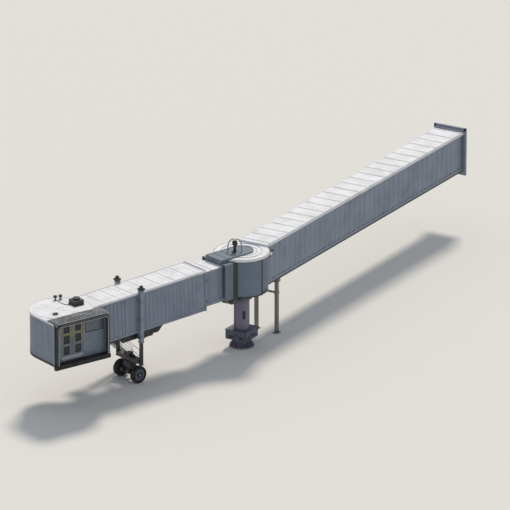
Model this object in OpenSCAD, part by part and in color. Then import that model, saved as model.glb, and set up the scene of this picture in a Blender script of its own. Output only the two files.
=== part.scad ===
// Passenger boarding bridge as a 1:2 scale model: a fixed walkway from the terminal to a rotunda on a column,
// a two-stage tunnel carried on a wheeled lift, and a cab that turns towards the aircraft.
// Millimetres, +Z up. The origin is at the foot of the rotunda column and +X runs along the walkway.
// Left and right are those of a person who walks from the terminal to the cab.

/* [Levels and layout] */
// Height of the walkway's underside above the ground
deck_z = 1980; // [1850:10:2200]
// Bend of the movable tunnel away from the walkway's line, degrees
tunnel_bend = 19; // [10:1:20]
// Downward slope of the movable tunnel, degrees
tunnel_slope = 1.7; // [1:0.1:2.5]
// Turn of the cab away from the tunnel's line, degrees
cab_turn = 86; // [82:1:88]

/* [Fixed walkway] */
// Length from the rotunda axis to the terminal's wall
walkway_len = 14400; // [10000:100:15000]
// Outer width
walkway_w = 1020; // [960:10:1040]
// Height from underside to roof top
walkway_h = 1490; // [1450:10:1600]
// Thickness of the side walls
walkway_wall = 44; // [36:2:60]
// Depth of the floor with its beams
walkway_floor_t = 120; // [100:5:150]
// Thickness of the roof
walkway_roof_t = 80; // [60:5:90]
// Distance from the rotunda axis to the support posts
trestle_x = 1650; // [1500:50:3000]
// Side of a support post
post_w = 110; // [80:5:140]

/* [Wall ribs] */
// Distance between two ribs of the walkway's walls
rib_pitch = 340; // [150:10:400]
// Distance between two ribs of the tunnels' walls
tunnel_rib_pitch = 170; // [120:5:240]
// Depth of a rib
rib_depth = 16; // [8:1:20]
// Distance between two seams of a roof
seam_pitch = 600; // [400:50:900]
// Height of a roof seam
seam_h = 12; // [6:1:16]

/* [Rotunda] */
// Diameter of the column
column_d = 520; // [440:10:560]
// Diameter of the column's foot flange
flange_d = 860; // [820:10:900]
// Thickness of the foot flange
flange_t = 40; // [30:5:60]
// Diameter of the anchor bolts' circle
bolt_circle_d = 720; // [700:10:740]
// Radius of an anchor hole
bolt_hole_r = 16; // [12:1:20]
// Side of the square cabinet round the column
cabinet_w = 800; // [700:10:900]
// Height of the cabinet
cabinet_h = 340; // [280:10:420]
// Radius inside the fixed curtains
drum_r = 880; // [870:5:900]
// Thickness of a curtain
curtain_t = 14; // [12:1:16]
// Gap between fixed and turning curtains
curtain_gap = 10; // [8:1:12]
// Angle from the tunnel's line to the end of a turning curtain, degrees
curtain_reach = 99; // [95:1:100]
// Drop from the walkway's roof to the rotunda's roof
rotunda_drop = 70; // [50:5:80]
// Height of the cable post on the hood
cable_post_h = 380; // [200:10:450]
// Distance from the rotunda axis to the pitch hinge
hinge_x = 1010; // [1000:5:1040]
// Radius of a pitch hinge pin
pin_r = 30; // [24:1:34]

/* [Movable tunnel] */
// Outer width of the inner tunnel
inner_w = 900; // [860:10:920]
// Height of the inner tunnel
inner_h = 1240; // [1200:10:1260]
// Length of the inner tunnel
inner_len = 4700; // [4200:100:4800]
// Outer width of the outer tunnel
outer_w = 1080; // [1060:10:1100]
// Height of the outer tunnel
outer_h = 1430; // [1420:10:1460]
// Thickness of both tunnels' walls
tunnel_wall = 36; // [30:1:40]
// Start of the outer tunnel, measured from the pitch hinge
outer_start = 1025; // [900:25:1200]
// Length of the hood over the tunnel's hinged end
hood_len = 220; // [160:10:300]
// Clear width inside the hood
hood_in_w = 1146; // [1100:2:1160]
// Width of the service door
door_w = 430; // [380:10:480]
// Height of the service door
door_h = 1000; // [940:10:1040]

/* [Lift and bogie] */
// Distance from the rotunda axis to the lift columns
lift_x = 4890; // [4600:10:5100]
// Height of the lift columns' tops
lift_top = 3400; // [3350:10:3500]
// Side of the square outer lift tube
lift_tube = 130; // [110:5:150]
// Side of the square inner lift leg
lift_leg = 96; // [80:2:100]
// Height of the lower cross beam's underside
beam_z = 690; // [670:10:760]
// Wheel diameter
wheel_d = 580; // [500:10:600]
// Width of a tyre
tyre_w = 190; // [150:10:210]
// Distance between the two tyres' centres
track = 900; // [850:10:940]
// Depth of the girders under the tunnel
girder_h = 240; // [160:10:300]

/* [Cab] */
// Distance from the rotunda axis to the cab's turning axis
cab_x = 7795; // [7700:5:7900]
// Radius of the round back wall
cab_r = 1030; // [1010:5:1050]
// How far the front sill stands ahead of the round wall
front_ahead = 60; // [40:5:100]
// Height of the cab from floor top to roof underside
cab_h = 1330; // [1300:10:1400]
// Thickness of the cab's walls
cab_wall = 36; // [30:2:44]
// Thickness of the cab's floor
cab_floor_t = 110; // [90:5:130]
// Thickness of the cab's roof
cab_roof_t = 60; // [40:5:80]
// Depth of the front frame
frame_t = 50; // [40:5:70]
// Depth of the folded canopy ahead of the front frame
canopy_depth = 170; // [120:10:220]
// Width of one door leaf
leaf_w = 455; // [420:5:480]
// Width of a door window
pane_w = 200; // [160:10:240]
// Height of a door window
pane_h = 250; // [200:10:280]
// Height of the bumper under the canopy
bumper_h = 170; // [120:10:220]

/* [Service stair] */
// Distance from the rotunda axis to the top of the stair
stair_top_x = 5600; // [5500:10:5650]
// Width of the stair
stair_w = 420; // [360:10:460]
// Length of the landing
landing_len = 620; // [560:10:660]
// Number of treads
stair_steps = 12; // [10:1:14]
// Height of the handrails
rail_h = 480; // [420:10:540]
// Radius of a handrail
rail_r = 12; // [10:1:16]

/* [Hidden] */
$fn = 220;

white = "#e9eaed";
panel_grey = "#b9c0c8";
dark_grey = "#4a5058";
near_black = "#24262a";
column_grey = "#8c8a94";
glass_tint = "#22303a";

// Clearances: seated faces, running parts and round running fits.
seat_gap = 0.3;
run_gap = 8;
fit = 0.05;
leg_gap = 0.5;

heading = 180 - tunnel_bend;
roof_z = deck_z + walkway_h;
floor_z = deck_z + walkway_floor_t;
ceiling_z = roof_z - walkway_roof_t;
walk_x0 = 760;
wall_margin = 130;

rotunda_roof_t = 60;
rotunda_top = roof_z - rotunda_drop;
drum_top = rotunda_top - rotunda_roof_t;
floor_rim_t = 110;
rim_bottom = 50;
outer_drum_r = drum_r + curtain_t + curtain_gap;
rotunda_roof_r = outer_drum_r + 50;
roof_lip = 20;
guide_lip = 6;
guide_a = asin((walkway_w / 2 + guide_lip + seat_gap) / drum_r);
slat_pitch = 4;
fixed_reach = 181 + tunnel_bend - curtain_reach;
slot_w = 110;
slot_h = 300;
slot_z = 1025;
slot_a = 228;
cabinet_z = 300;

slew_r = 400;
slew_h = 100;
slew_z = deck_z - 200;
seat_r = column_d / 2 + 90;
arm_y = 390;
arm_w = 80;
lug_y = 290;
hinge_z = deck_z - 60;

inner_floor_t = 90;
inner_roof_t = 45;
inner_x0 = 30;
inner_base = deck_z + 30 - hinge_z;
inner_top = inner_base + inner_h;
pad_t = 30;
outer_floor_t = 60;
outer_roof_t = 50;
roof_edge = 10;
girder_back = 1150;
girder_ahead = 900;
outer_base = inner_base - outer_floor_t - pad_t;
outer_top = outer_base + outer_h;
collar_t = 40;

portal_t = 25;
portal_w = hood_in_w + 2 * portal_t;
portal_a = asin(portal_w / 2 / outer_drum_r);
portal_x1 = 880;
portal_top = drum_top - roof_lip - run_gap;
hood_x1 = hinge_x + hood_len;
hood_top = rotunda_top + run_gap;
hood_top_t = 25;
post_x = 300;
hood_top_w = 800;

cab_cut_r = cab_r + 20 + run_gap;
cab_floor_z = hinge_z + outer_floor_t - (cab_x - cab_r - hinge_x) * tan(tunnel_slope) - 5;
cab_top = cab_h + cab_roof_t;
outer_end = cab_x - cab_cut_r - hinge_x + 250;
curtain_in_r = cab_r - cab_wall - 30;
end_a = asin((outer_w / 2 + seat_gap) / curtain_in_r);
cab_curtain_arc = 99;
jog_x = 600;
cab_front = cab_r + front_ahead;
front_x1 = cab_front + frame_t;
canopy_x1 = front_x1 + canopy_depth;
door_t = 40;
door_x = cab_front - 50;
jamb_w = 230;
door_y0 = -cab_r + cab_wall + jamb_w;
leaf_gap = 4;

lift_y = outer_w / 2 + roof_edge + lift_tube / 2;
lift_lx = (lift_x - hinge_x) / cos(tunnel_slope);
lift_bottom = 1480;
lift_bore = lift_leg + 2 * leg_gap;
cap_h = 60;
axle_r = 45;
steer_r = 60;
bogie_y = track / 2 - tyre_w / 2 - 30;

stair_y = lift_y + lift_tube / 2 + 20;
land_z = cab_floor_z - 40;
stair_pin_r = 16;
stair_pin_z = land_z - 60;
stair_foot_z = 47;
stair_rise = (stair_pin_z - stair_foot_z) / (stair_steps + 0.5);
stair_run = stair_rise * 1.08;
stair_len_x = stair_run * (stair_steps + 0.5);
stair_a = atan((stair_pin_z - stair_foot_z) / stair_len_x);
service_x0 = stair_top_x + 120 - hinge_x;
bar_r = rail_r - 2;
post_in = rail_r + 5;
rail_levels = [rail_h / 2, rail_h - 20];

// A level frame on the tunnel's line, at a distance from the rotunda axis.
module level_frame(x) {
  rotate([0, 0, heading])
    translate([x, 0, 0])
      children();
}

// The tunnel's own frame: +X towards the cab, origin on the pitch hinge.
module tunnel_frame() {
  level_frame(hinge_x)
    translate([0, 0, hinge_z])
      rotate([0, tunnel_slope, 0])
        children();
}

// The cab's own frame: +X towards the aircraft, origin on the turning axis at floor top level.
module cab_frame() {
  level_frame(cab_x)
    translate([0, 0, cab_floor_z])
      rotate([0, 0, cab_turn])
        children();
}

module box(x0, x1, y0, y1, z0, z1) {
  translate([x0, y0, z0])
    cube([x1 - x0, y1 - y0, z1 - z0]);
}

// A round bar that runs along Y.
module cross_bar(y0, y1, r) {
  translate([0, y1, 0])
    rotate([90, 0, 0])
      cylinder(h = y1 - y0, r = r, $fn = 48);
}

// A profile drawn in X and Z, extruded along Y between two places.
module side_profile(y0, y1) {
  translate([0, y1, 0])
    rotate([90, 0, 0])
      linear_extrude(y1 - y0)
        children();
}

// A piece of round wall between two angles, grooved outside between its upright slats.
module slat_wall(r, t, a0, arc, z0, z1) {
  groove = 4;
  difference() {
    translate([0, 0, z0])
      rotate([0, 0, a0])
        rotate_extrude(angle = arc)
          translate([r, 0])
            square([t, z1 - z0]);
    for (a = [a0 + slat_pitch : slat_pitch : a0 + arc - 1])
      rotate([0, 0, a])
        box(r + t - groove, r + t + groove, -4, 4, z0 - 1, z1 + 1);
  }
}

// Plan outline of a wall panel with upright ribs: flat inside at y = 0, crests outside at y = t.
function rib_row(n, start, pitch) = [
  for (i = [n - 1 : -1 : 0], p = [[0.6, 0], [0.5, 1], [0.2, 1], [0.1, 0]])
    [start + (i + p[0]) * pitch, p[1]]
];
module ribbed_panel(x0, x1, t, z0, z1, pitch, margin) {
  n = floor((x1 - x0 - 2 * margin) / pitch);
  valley = t - rib_depth;
  ribs = rib_row(n, (x0 + x1 - n * pitch) / 2, pitch);
  outer_row = [for (p = ribs) [p[0], valley + p[1] * rib_depth]];
  translate([0, 0, z0])
    linear_extrude(z1 - z0)
      polygon(concat([[x0, valley], [x0, 0], [x1, 0], [x1, valley]], outer_row));
}

// One side wall of a walkway or tunnel, ribs outwards. side is 1 for +Y and -1 for -Y.
module side_wall(side, w, t, x0, x1, z0, z1, pitch = tunnel_rib_pitch, margin = 60) {
  mirror([0, side > 0 ? 0 : 1, 0])
    translate([0, w / 2 - t, 0])
      ribbed_panel(x0, x1, t, z0, z1, pitch, margin);
}

// A flat roof with low standing seams across it.
module seamed_roof(x0, x1, w, z0, t) {
  n = floor((x1 - x0 - 100) / seam_pitch);
  start = (x0 + x1 - n * seam_pitch) / 2;
  union() {
    box(x0, x1, -w / 2, w / 2, z0, z0 + t);
    for (i = [0 : n])
      translate([start + i * seam_pitch, 0, z0 + t])
        box(-8, 8, -w / 2, w / 2, -1, seam_h);
  }
}

module rotunda_column() {
  module gusset() {
    rotate([90, 0, 0])
      linear_extrude(16, center = true)
        polygon([[column_d / 2 - 10, flange_t - 1], [flange_d / 2 - 20, flange_t - 1],
          [flange_d / 2 - 20, flange_t + 30], [column_d / 2 + 15, 240], [column_d / 2 - 10, 240]]);
  }
  color(column_grey)
    difference() {
      union() {
        cylinder(h = flange_t, d = flange_d);
        cylinder(h = deck_z, d = column_d);
        translate([0, 0, slew_z - 60])
          cylinder(h = 60 - seat_gap, r = seat_r);
        for (i = [0 : 11])
          rotate([0, 0, 15 + i * 30])
            gusset();
      }
      for (i = [0 : 11])
        rotate([0, 0, i * 30])
          translate([bolt_circle_d / 2, 0, -1])
            cylinder(h = flange_t + 2, r = bolt_hole_r, $fn = 48);
      rotate([0, 0, slot_a])
        box(column_d / 2 - 50, column_d, -slot_w / 2, slot_w / 2, slot_z, slot_z + slot_h);
    }
}

module column_cabinet() {
  c = cabinet_w / 2;
  color(dark_grey)
    difference() {
      union() {
        box(-c, c, -c, c, cabinet_z, cabinet_z + cabinet_h);
        box(-c - 15, c + 15, -c - 15, c + 15, cabinet_z + cabinet_h - 20, cabinet_z + cabinet_h);
      }
      translate([0, 0, cabinet_z - 1])
        cylinder(h = cabinet_h + 2, d = column_d + 2 * seat_gap);
      for (a = [0 : 90 : 270])
        rotate([0, 0, a])
          for (s = [-1, 1])
            box(c - 6, c + 1, (s - 1) * c / 2 + 18, (s + 1) * c / 2 - 18, cabinet_z + 25,
              cabinet_z + cabinet_h - 45);
    }
}

module rotunda_floor() {
  color(dark_grey)
    difference() {
      translate([0, 0, deck_z])
        rotate_extrude()
          polygon([[0, 0], [drum_r - 280, 0], [drum_r + curtain_t + 4, rim_bottom],
            [drum_r + curtain_t + 4, floor_rim_t], [drum_r - 4, floor_rim_t],
            [drum_r - 4, walkway_floor_t], [0, walkway_floor_t]]);
      box(walk_x0, 2 * drum_r, -drum_r, drum_r, deck_z - 1, floor_z + 1);
      for (s = [-1, 1])
        box(guide_x0 - seat_gap, walk_x0 + 1, min(s * (guide_y0 - seat_gap), s * drum_r),
          max(s * (guide_y0 - seat_gap), s * drum_r), deck_z - 1, floor_z + 1);
    }
}

module rotunda_roof() {
  color(white)
    difference() {
      translate([0, 0, drum_top])
        rotate_extrude()
          polygon([[0, 0], [rotunda_roof_r - 14, 0], [rotunda_roof_r - 14, -roof_lip],
            [rotunda_roof_r, -roof_lip], [rotunda_roof_r, rotunda_roof_t - 16],
            [rotunda_roof_r - 40, rotunda_roof_t - 4], [0, rotunda_roof_t]]);
      box(walk_x0, 2 * drum_r, -2 * drum_r, 2 * drum_r, drum_top - roof_lip - 1, roof_z + 1);
    }
}

// The fixed half of the slatted curtain on one side.
module rotunda_curtain(side) {
  a0 = side > 0 ? guide_a : -fixed_reach;
  color(panel_grey)
    slat_wall(drum_r, curtain_t, a0, fixed_reach - guide_a, deck_z + floor_rim_t, drum_top);
}
module rotunda_curtain_left() { rotunda_curtain(-1); }
module rotunda_curtain_right() { rotunda_curtain(1); }

module walkway_floor() {
  beam_w = 60;
  deck_t = 50;
  n = floor((walkway_len - walk_x0 - 200) / seam_pitch);
  start = (walk_x0 + walkway_len - n * seam_pitch) / 2;
  color(dark_grey)
    union() {
      box(walk_x0, walkway_len, -walkway_w / 2, walkway_w / 2, floor_z - deck_t, floor_z);
      for (s = [-1, 1])
        translate([0, s * (walkway_w - beam_w) / 2, 0])
          box(walk_x0, walkway_len, -beam_w / 2, beam_w / 2, deck_z, floor_z - deck_t + 1);
      for (i = [0 : n])
        box(start + i * seam_pitch - 25, start + i * seam_pitch + 25, -walkway_w / 2 + 1, walkway_w / 2 - 1,
          deck_z + 10, floor_z - deck_t + 1);
    }
}

module walkway_left_wall() {
  color(panel_grey)
    side_wall(-1, walkway_w, walkway_wall, walk_x0, walkway_len, floor_z, ceiling_z, rib_pitch,
      wall_margin);
}
module walkway_right_wall() {
  color(panel_grey)
    side_wall(1, walkway_w, walkway_wall, walk_x0, walkway_len, floor_z, ceiling_z, rib_pitch,
      wall_margin);
}

module walkway_roof() {
  color(white)
    seamed_roof(walk_x0, walkway_len, walkway_w + 50, ceiling_z, walkway_roof_t);
}

// Dark upright posts that guide the fixed curtains beside the walkway's mouth.
guide_x0 = 716;
guide_y0 = walkway_w / 2 - walkway_wall;
guide_y1 = walkway_w / 2 + guide_lip;
module walkway_guide_posts() {
  color(near_black)
    for (s = [0, 1])
      mirror([0, s, 0])
        union() {
          box(guide_x0, walk_x0, guide_y0, guide_y1, deck_z, drum_top);
          box(walk_x0, walk_x0 + 45, walkway_w / 2 - rib_depth, guide_y1 + 36, floor_z, ceiling_z);
          box(walk_x0, walk_x0 + 45, walkway_w / 2, guide_y1 + 36, deck_z, floor_z + 1);
        }
}

module walkway_lamp() {
  x = walk_x0 + wall_margin - 25;
  z = ceiling_z - 330;
  color(near_black)
    translate([x, rib_depth - walkway_w / 2, z])
      union() {
        box(-20, 20, -71, 0, 60, 180);
        side_profile(-150, -70)
          polygon([[-90, 0], [90, 0], [90, 150], [60, 210], [-60, 210], [-90, 150]]);
      }
}

module terminal_frame() {
  t = 60;
  rim = 130;
  color(panel_grey)
    translate([walkway_len, 0, 0])
      difference() {
        box(0, t, -walkway_w / 2 - rim, walkway_w / 2 + rim, deck_z - rim, roof_z + rim);
        box(-1, t + 1, -walkway_w / 2 + walkway_wall, walkway_w / 2 - walkway_wall, floor_z, ceiling_z);
      }
}

// Two slim posts under the walkway, with a cap beam, a tie and foot plates.
module walkway_trestle() {
  cap_t = 120;
  cap_w = 120;
  foot_l = 240;
  foot_w = 200;
  foot_t = 20;
  tie_w = 50;
  tie_h = 60;
  tie_z = deck_z - 560;
  post_y = 400;
  color(column_grey)
    union() {
      for (s = [-1, 1])
        translate([trestle_x, s * post_y, 0]) {
          box(-post_w / 2, post_w / 2, -post_w / 2, post_w / 2, foot_t - 1, deck_z - cap_t + 1);
          box(-foot_l / 2, foot_l / 2, -foot_w / 2, foot_w / 2, 0, foot_t);
        }
      translate([trestle_x, 0, 0]) {
        box(-cap_w / 2, cap_w / 2, -walkway_w / 2, walkway_w / 2, deck_z - cap_t, deck_z - seat_gap);
        box(-tie_w / 2, tie_w / 2, -post_y, post_y, tie_z, tie_z + tie_h);
      }
    }
}

// Turning ring under the rotunda's floor, with two arms and the pitch hinge's pins.
module slew_frame() {
  tip_r = 60;
  color(dark_grey)
    rotate([0, 0, heading])
      difference() {
        union() {
          translate([0, 0, slew_z])
            cylinder(h = slew_h, r = slew_r);
          for (s = [-1, 1])
            translate([0, s * arm_y, 0]) {
              side_profile(-arm_w / 2, arm_w / 2)
                polygon([[0, slew_z], [hinge_x - 180, slew_z], [hinge_x - 60, hinge_z - tip_r],
                  [hinge_x, hinge_z - tip_r], [hinge_x, hinge_z], [hinge_x - 180, slew_z + slew_h],
                  [0, slew_z + slew_h]]);
              translate([hinge_x, 0, hinge_z])
                cross_bar(-arm_w / 2, arm_w / 2, tip_r);
              translate([hinge_x, 0, hinge_z])
                cross_bar(s > 0 ? lug_y - arm_y - 45 : 0, s > 0 ? 0 : arm_y - lug_y + 45, pin_r);
            }
          box(hinge_x - 260, hinge_x - 100, -portal_w / 2, portal_w / 2,
            slew_z + slew_h - 30, deck_z - run_gap);
        }
        translate([0, 0, slew_z - 1])
          cylinder(h = slew_h + 2, d = column_d + 2 * seat_gap);
      }
}

// Dark frame between the turning curtains and the tunnel's hood.
module swing_portal() {
  z0 = deck_z - run_gap;
  color(near_black)
    rotate([0, 0, heading])
      difference() {
        box(outer_drum_r * cos(portal_a) - 20, portal_x1, -portal_w / 2, portal_w / 2, z0, portal_top);
        box(0, portal_x1 + 1, -hood_in_w / 2, hood_in_w / 2, z0 + 20, portal_top - portal_t);
        translate([0, 0, z0 - 1])
          cylinder(h = portal_top - z0 + 2, r = outer_drum_r);
      }
}

// Grey hood round the tunnel's hinged end. Its top plate reaches the pivot over the rotunda's roof.
module swing_hood() {
  z0 = deck_z - run_gap;
  color(panel_grey)
    rotate([0, 0, heading])
      difference() {
        union() {
          box(portal_x1, hood_x1, -portal_w / 2, portal_w / 2, deck_z + 60, portal_top);
          box(rotunda_roof_r + run_gap, hood_x1, -hood_top_w / 2, hood_top_w / 2,
            portal_top - 1, hood_top + hood_top_t);
          box(0, hood_x1, -hood_top_w / 2, hood_top_w / 2, hood_top, hood_top + hood_top_t);
          translate([0, 0, hood_top])
            cylinder(h = hood_top_t, r = hood_top_w / 2);
        }
        box(portal_x1 - 1, hood_x1 + 1, -hood_in_w / 2, hood_in_w / 2, z0, portal_top - portal_t);
      }
}

// Dark post on the hood's top plate, which takes the tunnel's cables.
module hood_cable_post() {
  color(near_black)
    rotate([0, 0, heading])
      translate([post_x, 0, hood_top + hood_top_t])
        rotate_extrude()
          polygon([[0, 0], [110, 0], [110, 14], [50, 24], [50, cable_post_h - 130], [80, cable_post_h - 115],
            [80, cable_post_h - 20], [65, cable_post_h], [0, cable_post_h]]);
}

// The turning half of the slatted curtain on one side.
module swing_curtain(side) {
  a0 = side > 0 ? portal_a : -curtain_reach;
  color(panel_grey)
    rotate([0, 0, heading])
      slat_wall(outer_drum_r, curtain_t, a0, curtain_reach - portal_a, deck_z + rim_bottom,
        drum_top - run_gap);
}
module swing_curtain_left() { swing_curtain(1); }
module swing_curtain_right() { swing_curtain(-1); }

module inner_floor() {
  color(dark_grey)
    tunnel_frame()
      difference() {
        union() {
          box(inner_x0, inner_len, -inner_w / 2, inner_w / 2, inner_base, inner_base + inner_floor_t);
          for (s = [-1, 1]) {
            translate([0, s * lug_y, 0]) {
              cross_bar(-40, 40, 45);
              side_profile(-40, 40)
                polygon([[0, -45], [60, -45], [160, inner_base + 1], [inner_x0, inner_base + 1],
                  [-45, 0], [0, 0]]);
            }
            box(inner_len - 200, inner_len, s * 300 - 60, s * 300 + 60,
              inner_base - pad_t + seat_gap, inner_base + 1);
          }
        }
        cross_bar(-600, 600, pin_r + fit);
      }
}

module inner_left_wall() {
  color(panel_grey)
    tunnel_frame()
      side_wall(1, inner_w, tunnel_wall, inner_x0, inner_len, inner_base + inner_floor_t,
        inner_top - inner_roof_t);
}
module inner_right_wall() {
  color(panel_grey)
    tunnel_frame()
      side_wall(-1, inner_w, tunnel_wall, inner_x0, inner_len, inner_base + inner_floor_t,
        inner_top - inner_roof_t);
}

module inner_roof() {
  top_gap = outer_top - outer_roof_t - inner_top;
  color(white)
    tunnel_frame()
      union() {
        box(inner_x0, inner_len, -inner_w / 2, inner_w / 2, inner_top - inner_roof_t, inner_top);
        for (s = [-1, 1])
          box(inner_len - 200, inner_len, s * 300 - 60, s * 300 + 60,
            inner_top - 1, inner_top + top_gap - seat_gap);
      }
}

// Cuts the outer tunnel's end round, so that the cab turns in front of it.
module cab_cut() {
  difference() {
    children();
    level_frame(cab_x)
      translate([0, 0, deck_z - 700])
        cylinder(h = 2500, r = cab_cut_r);
  }
}

module outer_floor() {
  color(dark_grey)
    cab_cut()
      tunnel_frame()
        union() {
          box(outer_start, outer_end, -outer_w / 2, outer_w / 2, outer_base, outer_base + outer_floor_t);
          for (s = [-1, 1])
            box(outer_start, outer_start + 200, s * 300 - 60, s * 300 + 60, outer_base + outer_floor_t - 1,
              inner_base - seat_gap);
        }
}

module outer_left_wall() {
  color(panel_grey)
    cab_cut()
      tunnel_frame()
        side_wall(1, outer_w, tunnel_wall, outer_start, outer_end, outer_base + outer_floor_t,
          outer_top - outer_roof_t, margin = 250);
}

module outer_right_wall() {
  z0 = outer_base + outer_floor_t;
  color(panel_grey)
    cab_cut()
      tunnel_frame()
        difference() {
          side_wall(-1, outer_w, tunnel_wall, outer_start, outer_end, z0,
            outer_top - outer_roof_t, margin = 250);
          box(service_x0, service_x0 + door_w, -outer_w, 0, z0 - 1, z0 + door_h);
        }
}

module outer_roof() {
  color(white)
    cab_cut()
      tunnel_frame()
        seamed_roof(outer_start, outer_end, outer_w + 2 * roof_edge, outer_top - outer_roof_t, outer_roof_t);
}

// Frame round the outer tunnel's mouth.
module outer_collar() {
  rim = 14;
  color(panel_grey)
    tunnel_frame()
      difference() {
        box(outer_start - collar_t, outer_start, -outer_w / 2 - rim, outer_w / 2 + rim, outer_base - rim,
          outer_top + rim);
        box(outer_start - collar_t - 1, outer_start + 1, -inner_w / 2 - 15, inner_w / 2 + 15,
          inner_base - 15, inner_top + 15);
      }
}

module service_door() {
  z0 = outer_base + outer_floor_t;
  g = 3;
  color(dark_grey)
    tunnel_frame()
      union() {
        box(service_x0 + g, service_x0 + door_w - g, -outer_w / 2, -outer_w / 2 + 24, z0, z0 + door_h - g);
        translate([service_x0 + door_w - 70, -outer_w / 2, z0 + 440])
          box(0, 30, -22, 1, 0, 100);
      }
}

// One upright of the landing's rail.
module rail_post(x, y, z) {
  translate([x, y, z])
    cylinder(h = rail_h, r = rail_r, $fn = 24);
}

// Rails between two posts along X.
module long_rails(x0, x1, y, z) {
  for (h = rail_levels)
    translate([x0, y, z + h])
      rotate([0, 90, 0])
        cylinder(h = x1 - x0, r = bar_r, $fn = 24);
}

module service_landing() {
  x0 = 60;
  x1 = x0 + landing_len;
  y0 = -stair_y - stair_w;
  y_in = y0 + 30;
  color(panel_grey)
    level_frame(stair_top_x)
      union() {
        box(x0, x1, y0, -outer_w / 2, land_z - 40, land_z);
        for (y = [y_in, -stair_y - 60])
          side_profile(y, y + 30)
            polygon([[-20, stair_pin_z - 20], [10, stair_pin_z - 20], [x0 + 30, land_z - 39],
              [x0 + 30, land_z - 5], [x0, land_z - 5], [-20, stair_pin_z + 20]]);
        translate([0, 0, stair_pin_z])
          cross_bar(y0, -stair_y, stair_pin_r);
        for (x = [x0 + post_in, (x0 + x1) / 2, x1 - post_in])
          rail_post(x, y0 + post_in, land_z - 1);
        rail_post(x1 - post_in, -stair_y, land_z - 1);
        long_rails(x0 + post_in, x1 - post_in, y0 + post_in, land_z - 1);
        for (h = rail_levels)
          translate([x1 - post_in, 0, land_z - 1 + h])
            cross_bar(y0 + post_in, -stair_y, bar_r);
      }
}

module lift_tubes() {
  color(panel_grey)
    level_frame(lift_x)
      for (s = [-1, 1])
        translate([0, s * lift_y, 0])
          difference() {
            box(-lift_tube / 2, lift_tube / 2, -lift_tube / 2, lift_tube / 2, lift_bottom, lift_top - cap_h);
            box(-lift_bore / 2, lift_bore / 2, -lift_bore / 2, lift_bore / 2,
              lift_bottom - 1, lift_top - cap_h + 1);
          }
}

module lift_caps() {
  c = lift_tube / 2 + 25;
  color(near_black)
    level_frame(lift_x)
      for (s = [-1, 1])
        translate([0, s * (lift_y + 15), lift_top - cap_h])
          union() {
            box(-c, c, -c, c, 0, cap_h);
            translate([0, 0, cap_h - 1])
              cylinder(h = 71, r = c - 25, $fn = 64);
          }
}

// Girders and cross beams under the outer tunnel, which the lift columns carry.
module undercarriage() {
  girder_y = 400;
  girder_w = 60;
  girder_slope = 260;
  housing_y = girder_y - girder_w / 2 - 1;
  cross_w = 240;
  cross_h = 150;
  brace_w = 80;
  brace_z = outer_base - girder_h + 20;
  x0 = lift_lx - girder_back;
  x1 = lift_lx + girder_ahead;
  color(near_black)
    tunnel_frame()
      union() {
        for (s = [-1, 1])
          side_profile(s * girder_y - girder_w / 2, s * girder_y + girder_w / 2)
            polygon([[x0, outer_base], [x0 + girder_slope, outer_base - girder_h],
              [x1 - girder_slope, outer_base - girder_h], [x1, outer_base]]);
        box(lift_lx - cross_w / 2, lift_lx + cross_w / 2, -outer_w / 2 - roof_edge, outer_w / 2 + roof_edge,
          outer_base - cross_h, outer_base);
        for (x = [x0 + 300, lift_lx - 450, lift_lx + 550])
          box(x - brace_w / 2, x + brace_w / 2, -girder_y, girder_y, brace_z, brace_z + 100);
        box(lift_lx - 750, lift_lx - 200, -housing_y, housing_y, outer_base - girder_h + 60, outer_base);
      }
}

module cable_tray() {
  x0 = outer_start + 100;
  x1 = lift_lx - lift_tube / 2 - 80;
  n = floor((x1 - x0) / 500);
  color(panel_grey)
    tunnel_frame()
      translate([0, -outer_w / 2, outer_base + 420])
        union() {
          difference() {
            box(x0, x1, -250, 0, 0, 90);
            box(x0 - 1, x1 + 1, -238, -12, 12, 91);
          }
          for (i = [0 : n])
            side_profile(-249, -1)
              translate([x0 + 60 + i * (x1 - x0 - 120) / n - 15, -45])
                square([30, 46]);
        }
}

// Round bearing plate under the cab, on two beams from the undercarriage.
module cab_turntable() {
  z1 = cab_floor_z - cab_floor_t - seat_gap;
  beam_x0 = lift_lx + girder_ahead;
  color(near_black)
    union() {
      level_frame(cab_x)
        translate([0, 0, z1 - 90])
          cylinder(h = 90, r = cab_r - 200);
      tunnel_frame()
        for (s = [-1, 1])
          side_profile(s * 330 - 60, s * 330 + 60)
            polygon([[beam_x0, outer_base - 140], [cab_x - hinge_x - 500, outer_base - 140],
              [cab_x - hinge_x - 500, outer_base - 60], [cab_x - cab_r - hinge_x - 40, outer_base - 60],
              [cab_x - cab_r - hinge_x - 40, outer_base], [beam_x0, outer_base]]);
    }
}

// Frame that carries the cab's curtain on the tunnel's end.
module cab_portal() {
  z0 = cab_floor_z + run_gap;
  z1 = cab_floor_z + cab_h - run_gap;
  color(near_black)
    level_frame(cab_x)
      intersection() {
        difference() {
          box(-cab_r - 60, 0, -outer_w / 2, outer_w / 2, z0, z1);
          box(-cab_r - 61, 1, -outer_w / 2 + tunnel_wall, outer_w / 2 - tunnel_wall, z0 - 1, z1 - 50);
        }
        difference() {
          translate([0, 0, z0])
            cylinder(h = z1 - z0, r = cab_cut_r - seat_gap);
          translate([0, 0, z0 - 1])
            cylinder(h = z1 - z0 + 2, r = curtain_in_r);
        }
      }
}

module cab_curtain() {
  color(panel_grey)
    level_frame(cab_x)
      slat_wall(curtain_in_r, curtain_t, 180 + end_a, cab_curtain_arc, cab_floor_z + run_gap,
        cab_floor_z + cab_h - run_gap);
}

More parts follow.
